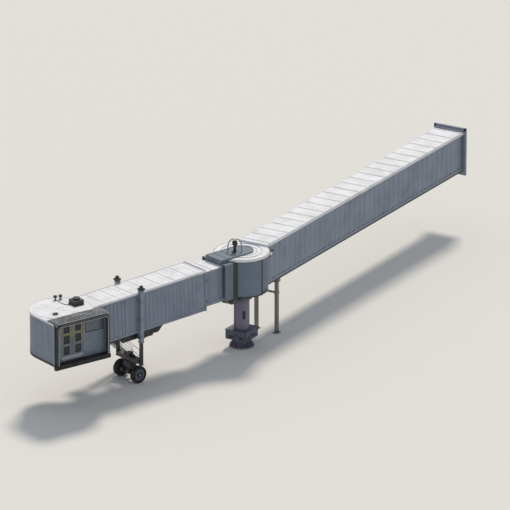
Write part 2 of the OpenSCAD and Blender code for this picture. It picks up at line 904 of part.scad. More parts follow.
// Stair that hangs on the landing's pin and rolls on the ground at its foot.
module service_stair() {
  bar_w = 90;
  flight = stair_len_x / cos(stair_a);
  y0 = -stair_y - stair_w;
  color(panel_grey)
    level_frame(stair_top_x)
      union() {
        for (y = [y0, -stair_y - 20])
          translate([0, 0, stair_pin_z])
            side_profile(y, y + 20)
              difference() {
                rotate(180 + stair_a) {
                  translate([0, -bar_w / 2])
                    square([flight, bar_w]);
                  circle(d = bar_w);
                  translate([flight, 0])
                    circle(d = bar_w);
                }
                circle(r = stair_pin_r + fit, $fn = 48);
              }
        for (i = [1 : stair_steps])
          translate([-i * stair_run, 0, stair_pin_z - i * stair_rise])
            box(-30, stair_run - 20, y0 + 19, -stair_y - 19, -10, 15);
        for (i = [1, 6.5, stair_steps], y = [y0 + post_in, -stair_y - post_in])
          rail_post(-i * stair_run, y, stair_pin_z - i * stair_rise);
        for (y = [y0 + post_in, -stair_y - post_in], h = rail_levels)
          translate([-stair_run, y, stair_pin_z - stair_rise + h])
            rotate([0, 270 - stair_a, 0])
              cylinder(h = (stair_steps - 1) * stair_run / cos(stair_a), r = bar_r, $fn = 24);
      }
}

module lift_legs() {
  color(near_black)
    level_frame(lift_x)
      for (s = [-1, 1])
        translate([0, s * lift_y, 0])
          box(-lift_leg / 2, lift_leg / 2, -lift_leg / 2, lift_leg / 2, beam_z, lift_top - cap_h - 420);
}

module lower_crossbeam() {
  beam_h = 160;
  y1 = lift_y - lift_leg / 2;
  color(near_black)
    level_frame(lift_x)
      difference() {
        rotate([0, 0, 90])
          side_profile(-110, 110)
            polygon([[-y1, beam_z + 30], [-260, beam_z], [260, beam_z], [y1, beam_z + 30],
              [y1, beam_z + beam_h], [-y1, beam_z + beam_h]]);
        translate([0, 0, beam_z - 1])
          cylinder(h = 101, r = steer_r + fit);
      }
}

// Saddle with a steering pin above, an arch below and one axle for both wheels.
module bogie_frame() {
  axle_z = wheel_d / 2;
  color(near_black)
    level_frame(lift_x)
      difference() {
        union() {
          translate([0, 0, beam_z - 60])
            cylinder(h = 150, r = steer_r);
          translate([0, 0, beam_z - 80])
            cylinder(h = 80 - seat_gap, r = 170);
          rotate([0, 0, 90])
            side_profile(-100, 100)
              polygon([[-bogie_y, axle_z - 60], [bogie_y, axle_z - 60], [bogie_y, axle_z + 90],
                [190, beam_z - 70], [-190, beam_z - 70], [-bogie_y, axle_z + 90]]);
          translate([0, 0, axle_z])
            cross_bar(-track / 2 - tyre_w / 2 - 10, track / 2 + tyre_w / 2 + 10, axle_r);
          for (s = [-1, 1])
            translate([-230, s * 170, axle_z + 60])
              rotate([0, 90, 0])
                cylinder(h = 460, r = 62, $fn = 64);
        }
        rotate([0, 0, 90])
          side_profile(-101, 101)
            translate([0, axle_z - 80])
              circle(r = 130);
      }
}

// A tyre on a dished rim, turned round the axle.
module wheel(side) {
  r = wheel_d / 2;
  h = tyre_w / 2;
  color(near_black)
    level_frame(lift_x)
      translate([0, side * track / 2, r])
        rotate([-90 * side, 0, 0])
          rotate_extrude()
            polygon([[axle_r + fit, -h + 20], [r - 110, -h + 20], [r - 100, -h], [r - 30, -h], [r, -h + 25],
              [r, h - 25], [r - 30, h], [r - 100, h], [r - 120, h - 50], [axle_r + 50, h - 40],
              [axle_r + 40, h - 8], [axle_r + fit, h - 8]]);
}
module left_wheel() { wheel(1); }
module right_wheel() { wheel(-1); }

// Plan of the cab: a round back and a straight front, cut back beside the tunnel.
module cab_plan(r) {
  circle(r = r);
  translate([0, -r])
    square([cab_front, r]);
  translate([jog_x, 0])
    square([cab_front - jog_x, r]);
}

module cab_floor() {
  color(dark_grey)
    cab_frame()
      translate([0, 0, -cab_floor_t])
        linear_extrude(cab_floor_t)
          cab_plan(cab_r);
}

module cab_roof() {
  color(white)
    cab_frame()
      union() {
        translate([0, 0, cab_h])
          linear_extrude(cab_roof_t)
            cab_plan(cab_r + 20);
        translate([0, 0, cab_top - 1])
          cylinder(h = 13, r = cab_r - 70);
      }
}

module cab_back_wall() {
  color(panel_grey)
    cab_frame()
      rotate([0, 0, 220])
        rotate_extrude(angle = 50)
          translate([cab_r - cab_wall, 0])
            square([cab_wall, cab_h]);
}

module cab_right_wall() {
  color(panel_grey)
    cab_frame()
      box(seat_gap, cab_front, -cab_r, -cab_r + cab_wall, 0, cab_h);
}

module cab_left_wall() {
  y_in = sqrt(pow(cab_r, 2) - pow(jog_x + cab_wall, 2));
  color(panel_grey)
    cab_frame()
      linear_extrude(cab_h)
        polygon([[jog_x, y_in], [jog_x, cab_r], [cab_front, cab_r], [cab_front, cab_r - cab_wall],
          [jog_x + cab_wall, cab_r - cab_wall], [jog_x + cab_wall, y_in]]);
}

// Centre of a door window: leaf 0 or 1, row 0 to 2.
function pane_y(leaf) = door_y0 + (leaf + 0.5) * (leaf_w + leaf_gap);
function pane_z(row) = 365 + row * 375;

module cab_doors() {
  color(white)
    cab_frame()
      for (leaf = [0, 1])
        difference() {
          box(door_x, door_x + door_t, pane_y(leaf) - leaf_w / 2, pane_y(leaf) + leaf_w / 2, 0, cab_h);
          for (row = [0 : 2])
            box(door_x - 1, door_x + door_t + 1, pane_y(leaf) - pane_w / 2, pane_y(leaf) + pane_w / 2,
              pane_z(row) - pane_h / 2, pane_z(row) + pane_h / 2);
        }
}

panel_y0 = door_y0 + 2 * (leaf_w + leaf_gap);
panel_y1 = cab_r - cab_wall;
window_z0 = 830;
window_z1 = cab_h - 90;
module cab_glass() {
  color(glass_tint)
    cab_frame() {
      for (leaf = [0, 1], row = [0 : 2])
        box(door_x + 14, door_x + 26, pane_y(leaf) - pane_w / 2, pane_y(leaf) + pane_w / 2,
          pane_z(row) - pane_h / 2, pane_z(row) + pane_h / 2);
      box(door_x + 14, door_x + 26, panel_y0 + 70, panel_y1 - 70, window_z0, window_z1);
    }
}

module cab_front_panel() {
  color("#8e9bab")
    cab_frame() {
      difference() {
        box(door_x, door_x + door_t, panel_y0, panel_y1, 0, cab_h);
        box(door_x - 1, door_x + door_t + 1, panel_y0 + 70, panel_y1 - 70, window_z0, window_z1);
        for (y = [panel_y0 + 60 : 90 : panel_y1 - 80])
          box(door_x + door_t - 8, door_x + door_t + 1, y, y + 30, 60, window_z0 - 60);
      }
      box(door_x, door_x + door_t, -cab_r + cab_wall, door_y0, 0, cab_h);
    }
}

module cab_front_frame() {
  y = cab_r + 30;
  color(near_black)
    cab_frame()
      difference() {
        box(cab_front, front_x1, -y, y, -cab_floor_t, cab_top);
        box(cab_front - 1, front_x1 + 1, -cab_r + cab_wall + 20, cab_r - cab_wall - 20, 0, cab_h - 20);
      }
}

// Folded canopy: pleats round the opening's sides and top, and a pack of hoops laid back on the roof.
module cab_canopy() {
  y = cab_r + 70;
  x0 = front_x1 + seat_gap;
  z0 = cab_top + seat_gap;
  color(near_black)
    cab_frame()
      difference() {
        union() {
          box(x0, canopy_x1, -y, y, -20, z0 + 40);
          side_profile(-y, y)
            polygon([[jog_x + 60, z0 + 13], [jog_x + 130, z0 + 85], [front_x1 - 60, z0 + 105],
              [canopy_x1 - 40, z0 + 70], [canopy_x1, z0 + 30], [x0, z0 + 1], [x0, z0], [jog_x + 420, z0],
              [jog_x + 420, z0 + 13]]);
        }
        box(x0 - 1, canopy_x1 + 1, -cab_r + 60, cab_r - 60, -21, cab_h - 60);
      }
}

module cab_bumper() {
  y = cab_r + 50;
  color(near_black)
    cab_frame()
      side_profile(-y, y)
        polygon([[front_x1, -20 - seat_gap], [front_x1, -20 - bumper_h], [canopy_x1 - 60, -20 - bumper_h],
          [canopy_x1 - 20, -60 - bumper_h / 2], [canopy_x1 - 20, -20 - seat_gap]]);
}

module cab_roof_unit() {
  roof_place = [-48, 650];
  color(near_black)
    cab_frame()
      translate([roof_place[0], roof_place[1], cab_top + 12])
        union() {
          box(-180, 180, -180, 180, 0, 170);
          translate([0, 0, 169])
            cylinder(h = 61, r = 120, $fn = 64);
        }
}

module cab_roof_lamps() {
  color(near_black)
    cab_frame()
      for (p = [[-720, 480], [-760, 300]])
        translate([p[0], p[1], cab_top + 12])
          union() {
            cylinder(h = 90, r = 18, $fn = 32);
            translate([0, 0, 89])
              cylinder(h = 71, r = 55, $fn = 48);
          }
}

rotunda_column();
column_cabinet();
rotunda_floor();
rotunda_roof();
rotunda_curtain_left();
rotunda_curtain_right();
hood_cable_post();
walkway_floor();
walkway_left_wall();
walkway_right_wall();
walkway_roof();
walkway_guide_posts();
walkway_lamp();
terminal_frame();
walkway_trestle();
slew_frame();
swing_portal();
swing_hood();
swing_curtain_left();
swing_curtain_right();
inner_floor();
inner_left_wall();
inner_right_wall();
inner_roof();
outer_floor();
outer_left_wall();
outer_right_wall();
outer_roof();
outer_collar();
service_door();
service_landing();
lift_tubes();
lift_caps();
undercarriage();
cable_tray();
cab_turntable();
cab_portal();
cab_curtain();
service_stair();
lift_legs();
lower_crossbeam();
bogie_frame();
left_wheel();
right_wheel();
cab_floor();
cab_roof();
cab_back_wall();
cab_left_wall();
cab_right_wall();
cab_doors();
cab_glass();
cab_front_panel();
cab_front_frame();
cab_canopy();
cab_bumper();
cab_roof_unit();
cab_roof_lamps();
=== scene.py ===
import math
import random

import bmesh
import bpy
from mathutils import Euler, Matrix, Vector, noise


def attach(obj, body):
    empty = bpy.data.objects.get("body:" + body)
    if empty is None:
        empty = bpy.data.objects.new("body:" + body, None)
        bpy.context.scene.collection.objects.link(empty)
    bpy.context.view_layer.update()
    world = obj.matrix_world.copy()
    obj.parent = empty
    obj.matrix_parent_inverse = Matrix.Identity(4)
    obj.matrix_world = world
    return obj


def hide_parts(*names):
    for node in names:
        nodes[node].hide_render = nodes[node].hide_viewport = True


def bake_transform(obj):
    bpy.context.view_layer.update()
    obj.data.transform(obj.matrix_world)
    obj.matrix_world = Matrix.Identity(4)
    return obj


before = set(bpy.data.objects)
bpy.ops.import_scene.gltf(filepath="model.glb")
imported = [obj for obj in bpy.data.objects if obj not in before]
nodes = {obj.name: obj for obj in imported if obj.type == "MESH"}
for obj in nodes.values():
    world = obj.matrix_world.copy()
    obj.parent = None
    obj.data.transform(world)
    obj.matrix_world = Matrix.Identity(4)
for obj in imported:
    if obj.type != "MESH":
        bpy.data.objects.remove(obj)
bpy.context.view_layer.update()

# The layout repeats the part's own sizes, in metres and degrees.
layout = {
    "heading": 161.0, "slope": 1.7, "cabTurn": 86.0,
    "hingeX": 1.010, "hingeZ": 1.920, "cabX": 7.795, "cabFloor": 1.8042, "liftX": 4.890, "stairX": 5.60,
    "deck": 1.98, "floor": 2.10, "ceiling": 3.39, "roof": 3.47, "walkStart": 0.76, "walkEnd": 14.40,
    "walkHalf": 0.51, "roofHalf": 0.535, "ribDepth": 0.016,
}
home = Matrix.Identity(4)
line = Matrix.Rotation(math.radians(layout["heading"]), 4, "Z")
tunnel = (line @ Matrix.Translation((layout["hingeX"], 0, layout["hingeZ"]))
          @ Matrix.Rotation(math.radians(layout["slope"]), 4, "Y"))
lift = line @ Matrix.Translation((layout["liftX"], 0, 0))
stairTop = line @ Matrix.Translation((layout["stairX"], 0, 0))
cabLine = line @ Matrix.Translation((layout["cabX"], 0, layout["cabFloor"]))
cab = cabLine @ Matrix.Rotation(math.radians(layout["cabTurn"]), 4, "Z")

# Each place is the frame that a piece is drawn in, and the body that carries it.
onBase = (home, "base")
onSwing = (line, "swing_frame")
onInner = (tunnel, "inner_tunnel")
onOuter = (tunnel, "outer_tunnel")
onTubes = (lift, "outer_tunnel")
onLegs = (lift, "lift")
onBogie = (lift, "bogie")
onStair = (stairTop, "stair")
onLanding = (stairTop, "outer_tunnel")
onTunnelEnd = (cabLine, "outer_tunnel")
onCab = (cab, "cab")


def linearColour(hexColour):
    parts = [int(hexColour[i:i + 2], 16) / 255 for i in (1, 3, 5)]
    return tuple(c / 12.92 if c <= 0.04045 else ((c + 0.055) / 1.055) ** 2.4 for c in parts) + (1.0,)


def addNode(tree, kind, settings=None, values=None, links=None, greys=()):
    node = tree.nodes.new(kind)
    for key, value in (settings or {}).items():
        setattr(node, key, value)
    for key, value in (values or {}).items():
        node.inputs[key].default_value = value
    for key, source in (links or {}).items():
        tree.links.new(source, node.inputs[key])
    if greys:  # the two stops of a ramp, each a place and a grey
        for stop, (place, grey) in zip(node.color_ramp.elements, greys):
            stop.position, stop.color = place, (grey, grey, grey, 1.0)
    return node


def newMaterial(name, colour, roughness, metallic=0.0):
    material = bpy.data.materials.new(name)
    material.use_nodes = True
    tree = material.node_tree
    shader = tree.nodes["Principled BSDF"]
    shader.inputs["Base Color"].default_value = linearColour(colour)
    shader.inputs["Roughness"].default_value = roughness
    shader.inputs["Metallic"].default_value = metallic
    material.diffuse_color = linearColour(colour)
    return material, tree, shader


# Lays dirt over the clean colour where share is high, and lifts the grain by depth metres.
def layCoat(tree, shader, colour, grime, share, grain, strength, depth):
    mix = addNode(tree, "ShaderNodeMix", {"data_type": "RGBA"},
                  {6: linearColour(colour), 7: linearColour(grime)}, {0: share})
    tree.links.new(mix.outputs[2], shader.inputs["Base Color"])
    bump = addNode(tree, "ShaderNodeBump", values={"Strength": strength, "Distance": depth},
                   links={"Height": grain})
    tree.links.new(bump.outputs["Normal"], shader.inputs["Normal"])


# Scales are in turns to the metre: the peel of sprayed paint is 8 mm here, as coarse as it needs to show.
coat = {"runScale": (22.0, 22.0, 0.9), "peelScale": 120.0, "peel": 0.1, "peelDepth": 0.002, "dulling": 0.35}


# Weathered coats share one build: clouds of dust, long runs of dirt down the sheet and a fine peel.
def weathered(name, colour, grime, dust, runs, roughness, cloud=1.3, metallic=0.0):
    material, tree, shader = newMaterial(name, colour, roughness, metallic)
    place = addNode(tree, "ShaderNodeTexCoord").outputs["Object"]
    clouds = addNode(tree, "ShaderNodeTexNoise", values={"Scale": cloud, "Detail": 6.0, "Roughness": 0.65},
                     links={"Vector": place})
    stretched = addNode(tree, "ShaderNodeMapping", values={"Scale": coat["runScale"]},
                        links={"Vector": place})
    streaks = addNode(tree, "ShaderNodeTexNoise", values={"Scale": 1.0, "Detail": 3.0},
                      links={"Vector": stretched.outputs["Vector"]})
    cloudy = addNode(tree, "ShaderNodeValToRGB", links={"Fac": clouds.outputs["Fac"]},
                     greys=((0.40, 0.0), (0.72, dust)))
    streaky = addNode(tree, "ShaderNodeValToRGB", links={"Fac": streaks.outputs["Fac"]},
                      greys=((0.48, 0.0), (0.80, runs)))
    total = addNode(tree, "ShaderNodeMath", {"operation": "MAXIMUM"},
                    links={0: cloudy.outputs["Color"], 1: streaky.outputs["Color"]}).outputs["Value"]
    gloss = addNode(tree, "ShaderNodeMapRange", links={"Value": total},
                    values={"To Min": roughness, "To Max": min(1.0, roughness + coat["dulling"])})
    tree.links.new(gloss.outputs["Result"], shader.inputs["Roughness"])
    grain = addNode(tree, "ShaderNodeTexNoise", values={"Scale": coat["peelScale"], "Detail": 2.0},
                    links={"Vector": place})
    layCoat(tree, shader, colour, grime, total, grain.outputs["Fac"], coat["peel"], coat["peelDepth"])
    return material


# Roof sheet: matt white coating on steel, dust in patches, pale grey where water stands.
roofCoat = weathered("roofCoat", "#E6E7EA", "#B4B5B8", dust=0.55, runs=0.25, roughness=0.55, cloud=1.9)
# Wall sheet: satin blue-grey paint on ribbed steel, with faint runs of dirt.
wallPaint = weathered("wallPaint", "#828C9B", "#626B79", dust=0.45, runs=0.5, roughness=0.42)
# Rotunda slats and cab shell: a shade deeper, as rolled steel slats that hold more dirt.
slatPaint = weathered("slatPaint", "#6F7B8D", "#535D6C", dust=0.45, runs=0.55, roughness=0.45)
shellPaint = weathered("shellPaint", "#788492", "#5A6573", dust=0.45, runs=0.5, roughness=0.42)
# Rails and trims: the wall's paint, a little duller.
trimPaint = weathered("trimPaint", "#8B94A1", "#676E79", dust=0.4, runs=0.5, roughness=0.5)
# Hood sheet: darker grey paint, chalked on top.
hoodPaint = weathered("hoodPaint", "#626E7C", "#838A92", dust=0.5, runs=0.4, roughness=0.55)
# Trestle posts: old warm grey paint.
postPaint = weathered("postPaint", "#827F7B", "#5F5C58", dust=0.4, runs=0.5, roughness=0.5)
# Plant cabinet: dark blue-grey enamel on folded sheet.
cabinetEnamel = weathered("cabinetEnamel", "#4D5462", "#6D6F70", dust=0.4, runs=0.3, roughness=0.45)
# Floor beams: dark grey structural paint, dusty on top.
framePaint = weathered("framePaint", "#474C54", "#6A6A68", dust=0.5, runs=0.3, roughness=0.55)
# Column: satin violet-grey paint on a rolled tube.
columnPaint = weathered("columnPaint", "#7C788B", "#5A5665", dust=0.4, runs=0.55, roughness=0.45)
# Lift, bogie and guide rails: near-black machine enamel with grease and dust.
machineEnamel = weathered("machineEnamel", "#26282C", "#4C4A46", dust=0.5, runs=0.3, roughness=0.4,
                          cloud=4.0)
# Front panel: blue-grey enamel.
panelEnamel = weathered("panelEnamel", "#74818F", "#525D69", dust=0.4, runs=0.45, roughness=0.4)
# Galvanised steel: zinc spangle, dull silver with brighter flakes.
zincSteel = weathered("zincSteel", "#A9ADB1", "#7C8084", dust=0.6, runs=0.2, roughness=0.38, cloud=30.0,
                      metallic=0.85)
# Hoops: bare aluminium tube, dulled white by weather.
hoopAlloy = weathered("hoopAlloy", "#A9ACAE", "#7F8284", dust=0.4, runs=0.1, roughness=0.4, cloud=12.0,
                      metallic=0.4)
# Bolt heads: zinc plated steel, bare.
boltZinc = weathered("boltZinc", "#8D9094", "#54504A", dust=0.5, runs=0.1, roughness=0.35, cloud=60.0,
                     metallic=0.9)
# Ceiling: off-white coated board.
ceilingBoard = weathered("ceilingBoard", "#D7D6CF", "#B1AFA5", dust=0.3, runs=0.1, roughness=0.6)
# Painted reflection on the front window: an opaque grey, slightly glossy skin over the glass that stands in
# for its reflection.
reflectionSkinPaint = weathered("reflectionSkinPaint", "#5E6970", "#474F55", dust=0.5, runs=0.3, roughness=0.2, cloud=5.0)

# Door leaves: olive-grey enamel, with a blue-grey painted shade over the lower half.
doorEnamel = weathered("doorEnamel", "#7E7D68", "#5C594A", dust=0.45, runs=0.5, roughness=0.35, cloud=3.0)
doorLowerShade = {"colour": "#5F6A77", "below": 2.25, "above": 2.65}  # heights in the part's frame
doorTree = doorEnamel.node_tree
doorShader = doorTree.nodes["Principled BSDF"]
doorPaint = doorShader.inputs["Base Color"].links[0].from_socket
doorPlace = addNode(doorTree, "ShaderNodeTexCoord").outputs["Object"]
doorHeight = addNode(doorTree, "ShaderNodeSeparateXYZ", links={"Vector": doorPlace}).outputs["Z"]
# Painted shade: the doors turn blue-grey below the lower height and keep the enamel above the upper one.
upperHalf = addNode(doorTree, "ShaderNodeMapRange", links={"Value": doorHeight},
                    values={"From Min": doorLowerShade["below"], "From Max": doorLowerShade["above"]})
doorMix = addNode(doorTree, "ShaderNodeMix", {"data_type": "RGBA"}, {6: linearColour(doorLowerShade["colour"])},
                  {0: upperHalf.outputs["Result"], 7: doorPaint})
doorTree.links.new(doorMix.outputs[2], doorShader.inputs["Base Color"])


def rubberMaterial(name, colour, dusty, scale, roughness):
    material, tree, shader = newMaterial(name, colour, roughness)
    place = addNode(tree, "ShaderNodeTexCoord").outputs["Object"]
    scuffs = addNode(tree, "ShaderNodeTexNoise", values={"Scale": scale, "Detail": 8.0, "Roughness": 0.7},
                     links={"Vector": place}).outputs["Fac"]
    worn = addNode(tree, "ShaderNodeValToRGB", links={"Fac": scuffs}, greys=((0.45, 0.0), (0.70, 0.6)))
    layCoat(tree, shader, colour, dusty, worn.outputs["Color"], scuffs, strength=0.3, depth=0.003)
    return material


# Solid tyre: carbon black rubber, grey with dust on the shoulders.
tyreRubber = rubberMaterial("tyreRubber", "#1D1D1F", "#5A564F", scale=9.0, roughness=0.8)
# Bumper and cables: moulded EPDM, matt.
bumperRubber = rubberMaterial("bumperRubber", "#1A1B1D", "#3A3A3A", scale=6.0, roughness=0.7)
# Floor covering inside: studded grey rubber sheet.
floorRubber = rubberMaterial("floorRubber", "#4A4D52", "#6C6C69", scale=5.0, roughness=0.75)

# This scale sets the threads 2.5 mm apart, as coarse as they need to show. Real ones are 1 mm apart.
cloth = {"threads": 125.0, "weave": 0.25, "weaveDepth": 0.001, "chafe": 7.0, "sheen": 0.25,
         "roughness": 0.62}


# PVC coated polyester: a woven scrim shows through the coating, with pale chafe along the folds.
def coatedCloth(name, colour, dusty, share):
    material, tree, shader = newMaterial(name, colour, cloth["roughness"])
    uv = addNode(tree, "ShaderNodeUVMap", {"uv_map": "sheet"}).outputs["UV"]
    place = addNode(tree, "ShaderNodeTexCoord").outputs["Object"]
    threads = [addNode(tree, "ShaderNodeTexWave", {"bands_direction": way}, {"Scale": cloth["threads"]},
                       {"Vector": uv}).outputs["Fac"] for way in "XY"]
    scrim = addNode(tree, "ShaderNodeMath", {"operation": "ADD"}, links=dict(enumerate(threads)))
    chafe = addNode(tree, "ShaderNodeTexNoise", links={"Vector": place},
                    values={"Scale": cloth["chafe"], "Detail": 7.0, "Roughness": 0.7})
    worn = addNode(tree, "ShaderNodeValToRGB", links={"Fac": chafe.outputs["Fac"]},
                   greys=((0.40, 0.0), (0.70, share)))
    layCoat(tree, shader, colour, dusty, worn.outputs["Color"], scrim.outputs["Value"], cloth["weave"],
            cloth["weaveDepth"])
    shader.inputs["Sheen Weight"].default_value = cloth["sheen"]
    shader.inputs["Sheen Roughness"].default_value = 0.5
    return material


# Float glass with a dark body tint. The haze of dust keeps it from being a mirror.
glass = {"roughness": 0.08, "clear": 0.04, "hazy": 0.25, "hazeScale": 5.0, "ior": 1.5}


def tintedGlass(name, colour, alpha):
    material, tree, shader = newMaterial(name, colour, glass["roughness"])
    place = addNode(tree, "ShaderNodeTexCoord").outputs["Object"]
    haze = addNode(tree, "ShaderNodeTexNoise", values={"Scale": glass["hazeScale"], "Detail": 5.0},
                   links={"Vector": place})
    rough = addNode(tree, "ShaderNodeMapRange", values={"To Min": glass["clear"], "To Max": glass["hazy"]},
                    links={"Value": haze.outputs["Fac"]})
    tree.links.new(rough.outputs["Result"], shader.inputs["Roughness"])
    shader.inputs["Alpha"].default_value = alpha
    shader.inputs["IOR"].default_value = glass["ior"]
    return material


canopyFabric = coatedCloth("canopyCloth", "#292C31", "#5C5F66", share=0.7)
# Top folds: the bellows' own cloth with a lighter base and more dust; the lighter base is painted light on
# the top, the pale patches are dust.
canopyTopLitAndDustyFabric = coatedCloth("canopyTopClothLitAndDusty", "#3E4348", "#7C8084", share=0.85)
windowGlass = tintedGlass("windowGlass", "#141B25", alpha=0.93)
lampLens = tintedGlass("lampLens", "#DFE3E2", alpha=1.0)
print("materials made")

# The finish of each carried-over node.
nodeMaterials = {
    roofCoat: "walkway_roof rotunda_roof inner_roof outer_roof cab_roof",
    wallPaint: "walkway_left_wall walkway_right_wall inner_left_wall inner_right_wall outer_left_wall "
               "outer_right_wall",
    slatPaint: "rotunda_curtain_left rotunda_curtain_right swing_curtain_left swing_curtain_right "
               "cab_curtain",
    shellPaint: "cab_back_wall cab_left_wall cab_right_wall",
    trimPaint: "terminal_frame outer_collar cable_tray lift_tubes",
    hoodPaint: "swing_hood",
    postPaint: "walkway_trestle",
    cabinetEnamel: "column_cabinet",
    framePaint: "walkway_floor rotunda_floor inner_floor outer_floor cab_floor slew_frame service_door",
    columnPaint: "rotunda_column",
    machineEnamel: "hood_cable_post walkway_guide_posts walkway_lamp swing_portal undercarriage "
                   "cab_turntable cab_portal lift_caps lift_legs lower_crossbeam bogie_frame "
                   "cab_front_frame cab_roof_lamps cab_roof_unit",
    zincSteel: "service_stair service_landing",
    doorEnamel: "cab_doors",
    panelEnamel: "cab_front_panel",
    windowGlass: "cab_glass",
    bumperRubber: "cab_bumper",
    tyreRubber: "left_wheel right_wheel",
    canopyFabric: "cab_canopy",
}
for material, names in nodeMaterials.items():
    for name in names.split():
        nodes[name].data.materials.clear()
        nodes[name].data.materials.append(material)


def about(middle, half):
    return middle - half, middle + half


def addBox(bm, x0, x1, y0, y1, z0, z1, turn=home):
    made = bmesh.ops.create_cube(bm, size=1.0)["verts"]
    place = Matrix.Translation(((x0 + x1) / 2, (y0 + y1) / 2, (z0 + z1) / 2)) @ turn
    bmesh.ops.transform(bm, matrix=place @ Matrix.Diagonal((x1 - x0, y1 - y0, z1 - z0, 1)), verts=made)
    return made


def addRod(bm, start, end, radius, sides=12, endRadius=None):
    start, end = Vector(start), Vector(end)
    along = end - start
    made = bmesh.ops.create_cone(bm, cap_ends=True, segments=sides, radius1=radius, depth=along.length,
                                 radius2=radius if endRadius is None else endRadius)["verts"]
    turn = along.to_track_quat("Z", "Y").to_matrix().to_4x4()
    bmesh.ops.transform(bm, matrix=Matrix.Translation((start + end) / 2) @ turn, verts=made)
    return made


# Joins rings of points into a closed tube with flat ends, or into a whole ring.
def skinRings(bm, rings, whole=False):
    rings = [[bm.verts.new(p) for p in ring] for ring in rings]
    count = len(rings[0])
    for a, b in list(zip(rings, rings[1:])) + ([(rings[-1], rings[0])] if whole else []):
        for k in range(count):
            bm.faces.new((a[k], a[(k + 1) % count], b[(k + 1) % count], b[k]))
    if not whole:
        bm.faces.new(rings[0][::-1])
        bm.faces.new(rings[-1])
    return [vert for ring in rings for vert in ring]


# A round bar swept through points: used for pipes, cables and hoops.
def addPipe(bm, points, radius, sides=10):
    points = [Vector(p) for p in points]
    rings = []
    side = None
    for i, p in enumerate(points):
        ahead = (points[min(i + 1, len(points) - 1)] - points[max(i - 1, 0)]).normalized()
        side = (ahead.orthogonal() if side is None else side - ahead * side.dot(ahead)).normalized()
        other = ahead.cross(side)
        rings.append([p + (side * math.cos(a) + other * math.sin(a)) * radius
                      for a in (2 * math.pi * k / sides for k in range(sides))])
    skinRings(bm, rings)


# A bar of rectangular section bent round the Z axis, or a whole ring.
def addArcBar(bm, inner, outer, z0, z1, startAngle, endAngle, step=3.0):
    whole = abs(endAngle - startAngle) >= 359.9
    count = max(2, int(abs(endAngle - startAngle) / step))
    rings = []
    for i in range(count if whole else count + 1):
        a = math.radians(startAngle + (endAngle - startAngle) * i / count)
        rings.append([(r * math.cos(a), r * math.sin(a), z)
                      for r, z in ((inner, z0), (outer, z0), (outer, z1), (inner, z1))])
    return skinRings(bm, rings, whole)


# The same shape on each side of the frame's middle line.
def bothBoxes(bm, x0, x1, y0, y1, z0, z1):
    for side in (-1, 1):
        a, b = sorted((side * y0, side * y1))
        addBox(bm, x0, x1, a, b, z0, z1)


def bothRods(bm, start, end, radius, sides):
    for side in (-1, 1):
        addRod(bm, (start[0], side * start[1], start[2]), (end[0], side * end[1], end[2]), radius, sides)


def bothArcs(bm, inner, outer, z0, z1, startAngle, endAngle):
    for side in (-1, 1):
        addArcBar(bm, inner, outer, z0, z1, side * startAngle, side * endAngle)


def linkObject(name, data):
    made = bpy.data.objects.new(name, data)
    bpy.context.scene.collection.objects.link(made)
    return made


def meshObject(name, bm, matrix, material):
    bmesh.ops.transform(bm, matrix=matrix, verts=bm.verts)
    mesh = bpy.data.meshes.new(name)
    bm.to_mesh(mesh)
    bm.free()
    mesh.materials.append(material)
    return linkObject(name, mesh)


def plainMesh(seed):
    bpy.context.view_layer.update()
    return bpy.data.meshes.new_from_object(seed.evaluated_get(bpy.context.evaluated_depsgraph_get()))


# shapes is a list of rows: the function that adds a shape, and what it takes.
def makePiece(name, place, material, shapes, bevel=0.0, smooth=False):
    bm = bmesh.new()
    for add, *sizes in shapes:
        add(bm, *sizes)
    bmesh.ops.recalc_face_normals(bm, faces=bm.faces)
    if bevel:
        edges = [e for e in bm.edges if len(e.link_faces) == 2 and e.calc_face_angle(0) > 0.6]
        bmesh.ops.bevel(bm, geom=edges, offset=bevel, segments=1, affect="EDGES", clamp_overlap=True)
    matrix, body = place
    piece = meshObject(name, bm, matrix, material)
    if smooth:
        piece.data.shade_smooth()
        piece.data.set_sharp_from_angle(angle=math.radians(35))
    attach(piece, body)
    return piece


# Geometry nodes set a bolt head or a bar on each point, turned by the point's facing.
def repeatTree(name, shape, inputs):
    tree = bpy.data.node_groups.new(name, "GeometryNodeTree")
    tree.is_modifier = True
    face = tree.interface
    face.new_socket("Geometry", in_out="INPUT", socket_type="NodeSocketGeometry")
    face.new_socket("Geometry", in_out="OUTPUT", socket_type="NodeSocketGeometry")
    for socket, kind in inputs.items():
        face.new_socket(socket, in_out="INPUT", socket_type=kind)
    face.new_socket("finish", in_out="INPUT", socket_type="NodeSocketMaterial")
    entry = addNode(tree, "NodeGroupInput")
    leave = addNode(tree, "NodeGroupOutput")
    if shape == "bolt":
        part = addNode(tree, "GeometryNodeMeshCylinder", {"fill_type": "NGON"}, {"Vertices": 6},
                       {"Radius": entry.outputs["headRadius"], "Depth": entry.outputs["headHeight"]})
    else:
        part = addNode(tree, "GeometryNodeMeshCube", links={"Size": entry.outputs["barSize"]})
    facing = addNode(tree, "GeometryNodeInputNamedAttribute", {"data_type": "FLOAT_VECTOR"},
                     {"Name": "facing"})
    turned = addNode(tree, "FunctionNodeEulerToRotation", links={"Euler": facing.outputs["Attribute"]})
    spread = addNode(tree, "GeometryNodeInstanceOnPoints",
                     links={"Points": entry.outputs["Geometry"], "Instance": part.outputs["Mesh"],
                            "Rotation": turned.outputs["Rotation"]})
    real = addNode(tree, "GeometryNodeRealizeInstances", links={"Geometry": spread.outputs["Instances"]})
    finished = addNode(tree, "GeometryNodeSetMaterial",
                       links={"Geometry": real.outputs["Geometry"], "Material": entry.outputs["finish"]})
    tree.links.new(finished.outputs["Geometry"], leave.inputs["Geometry"])
    return tree


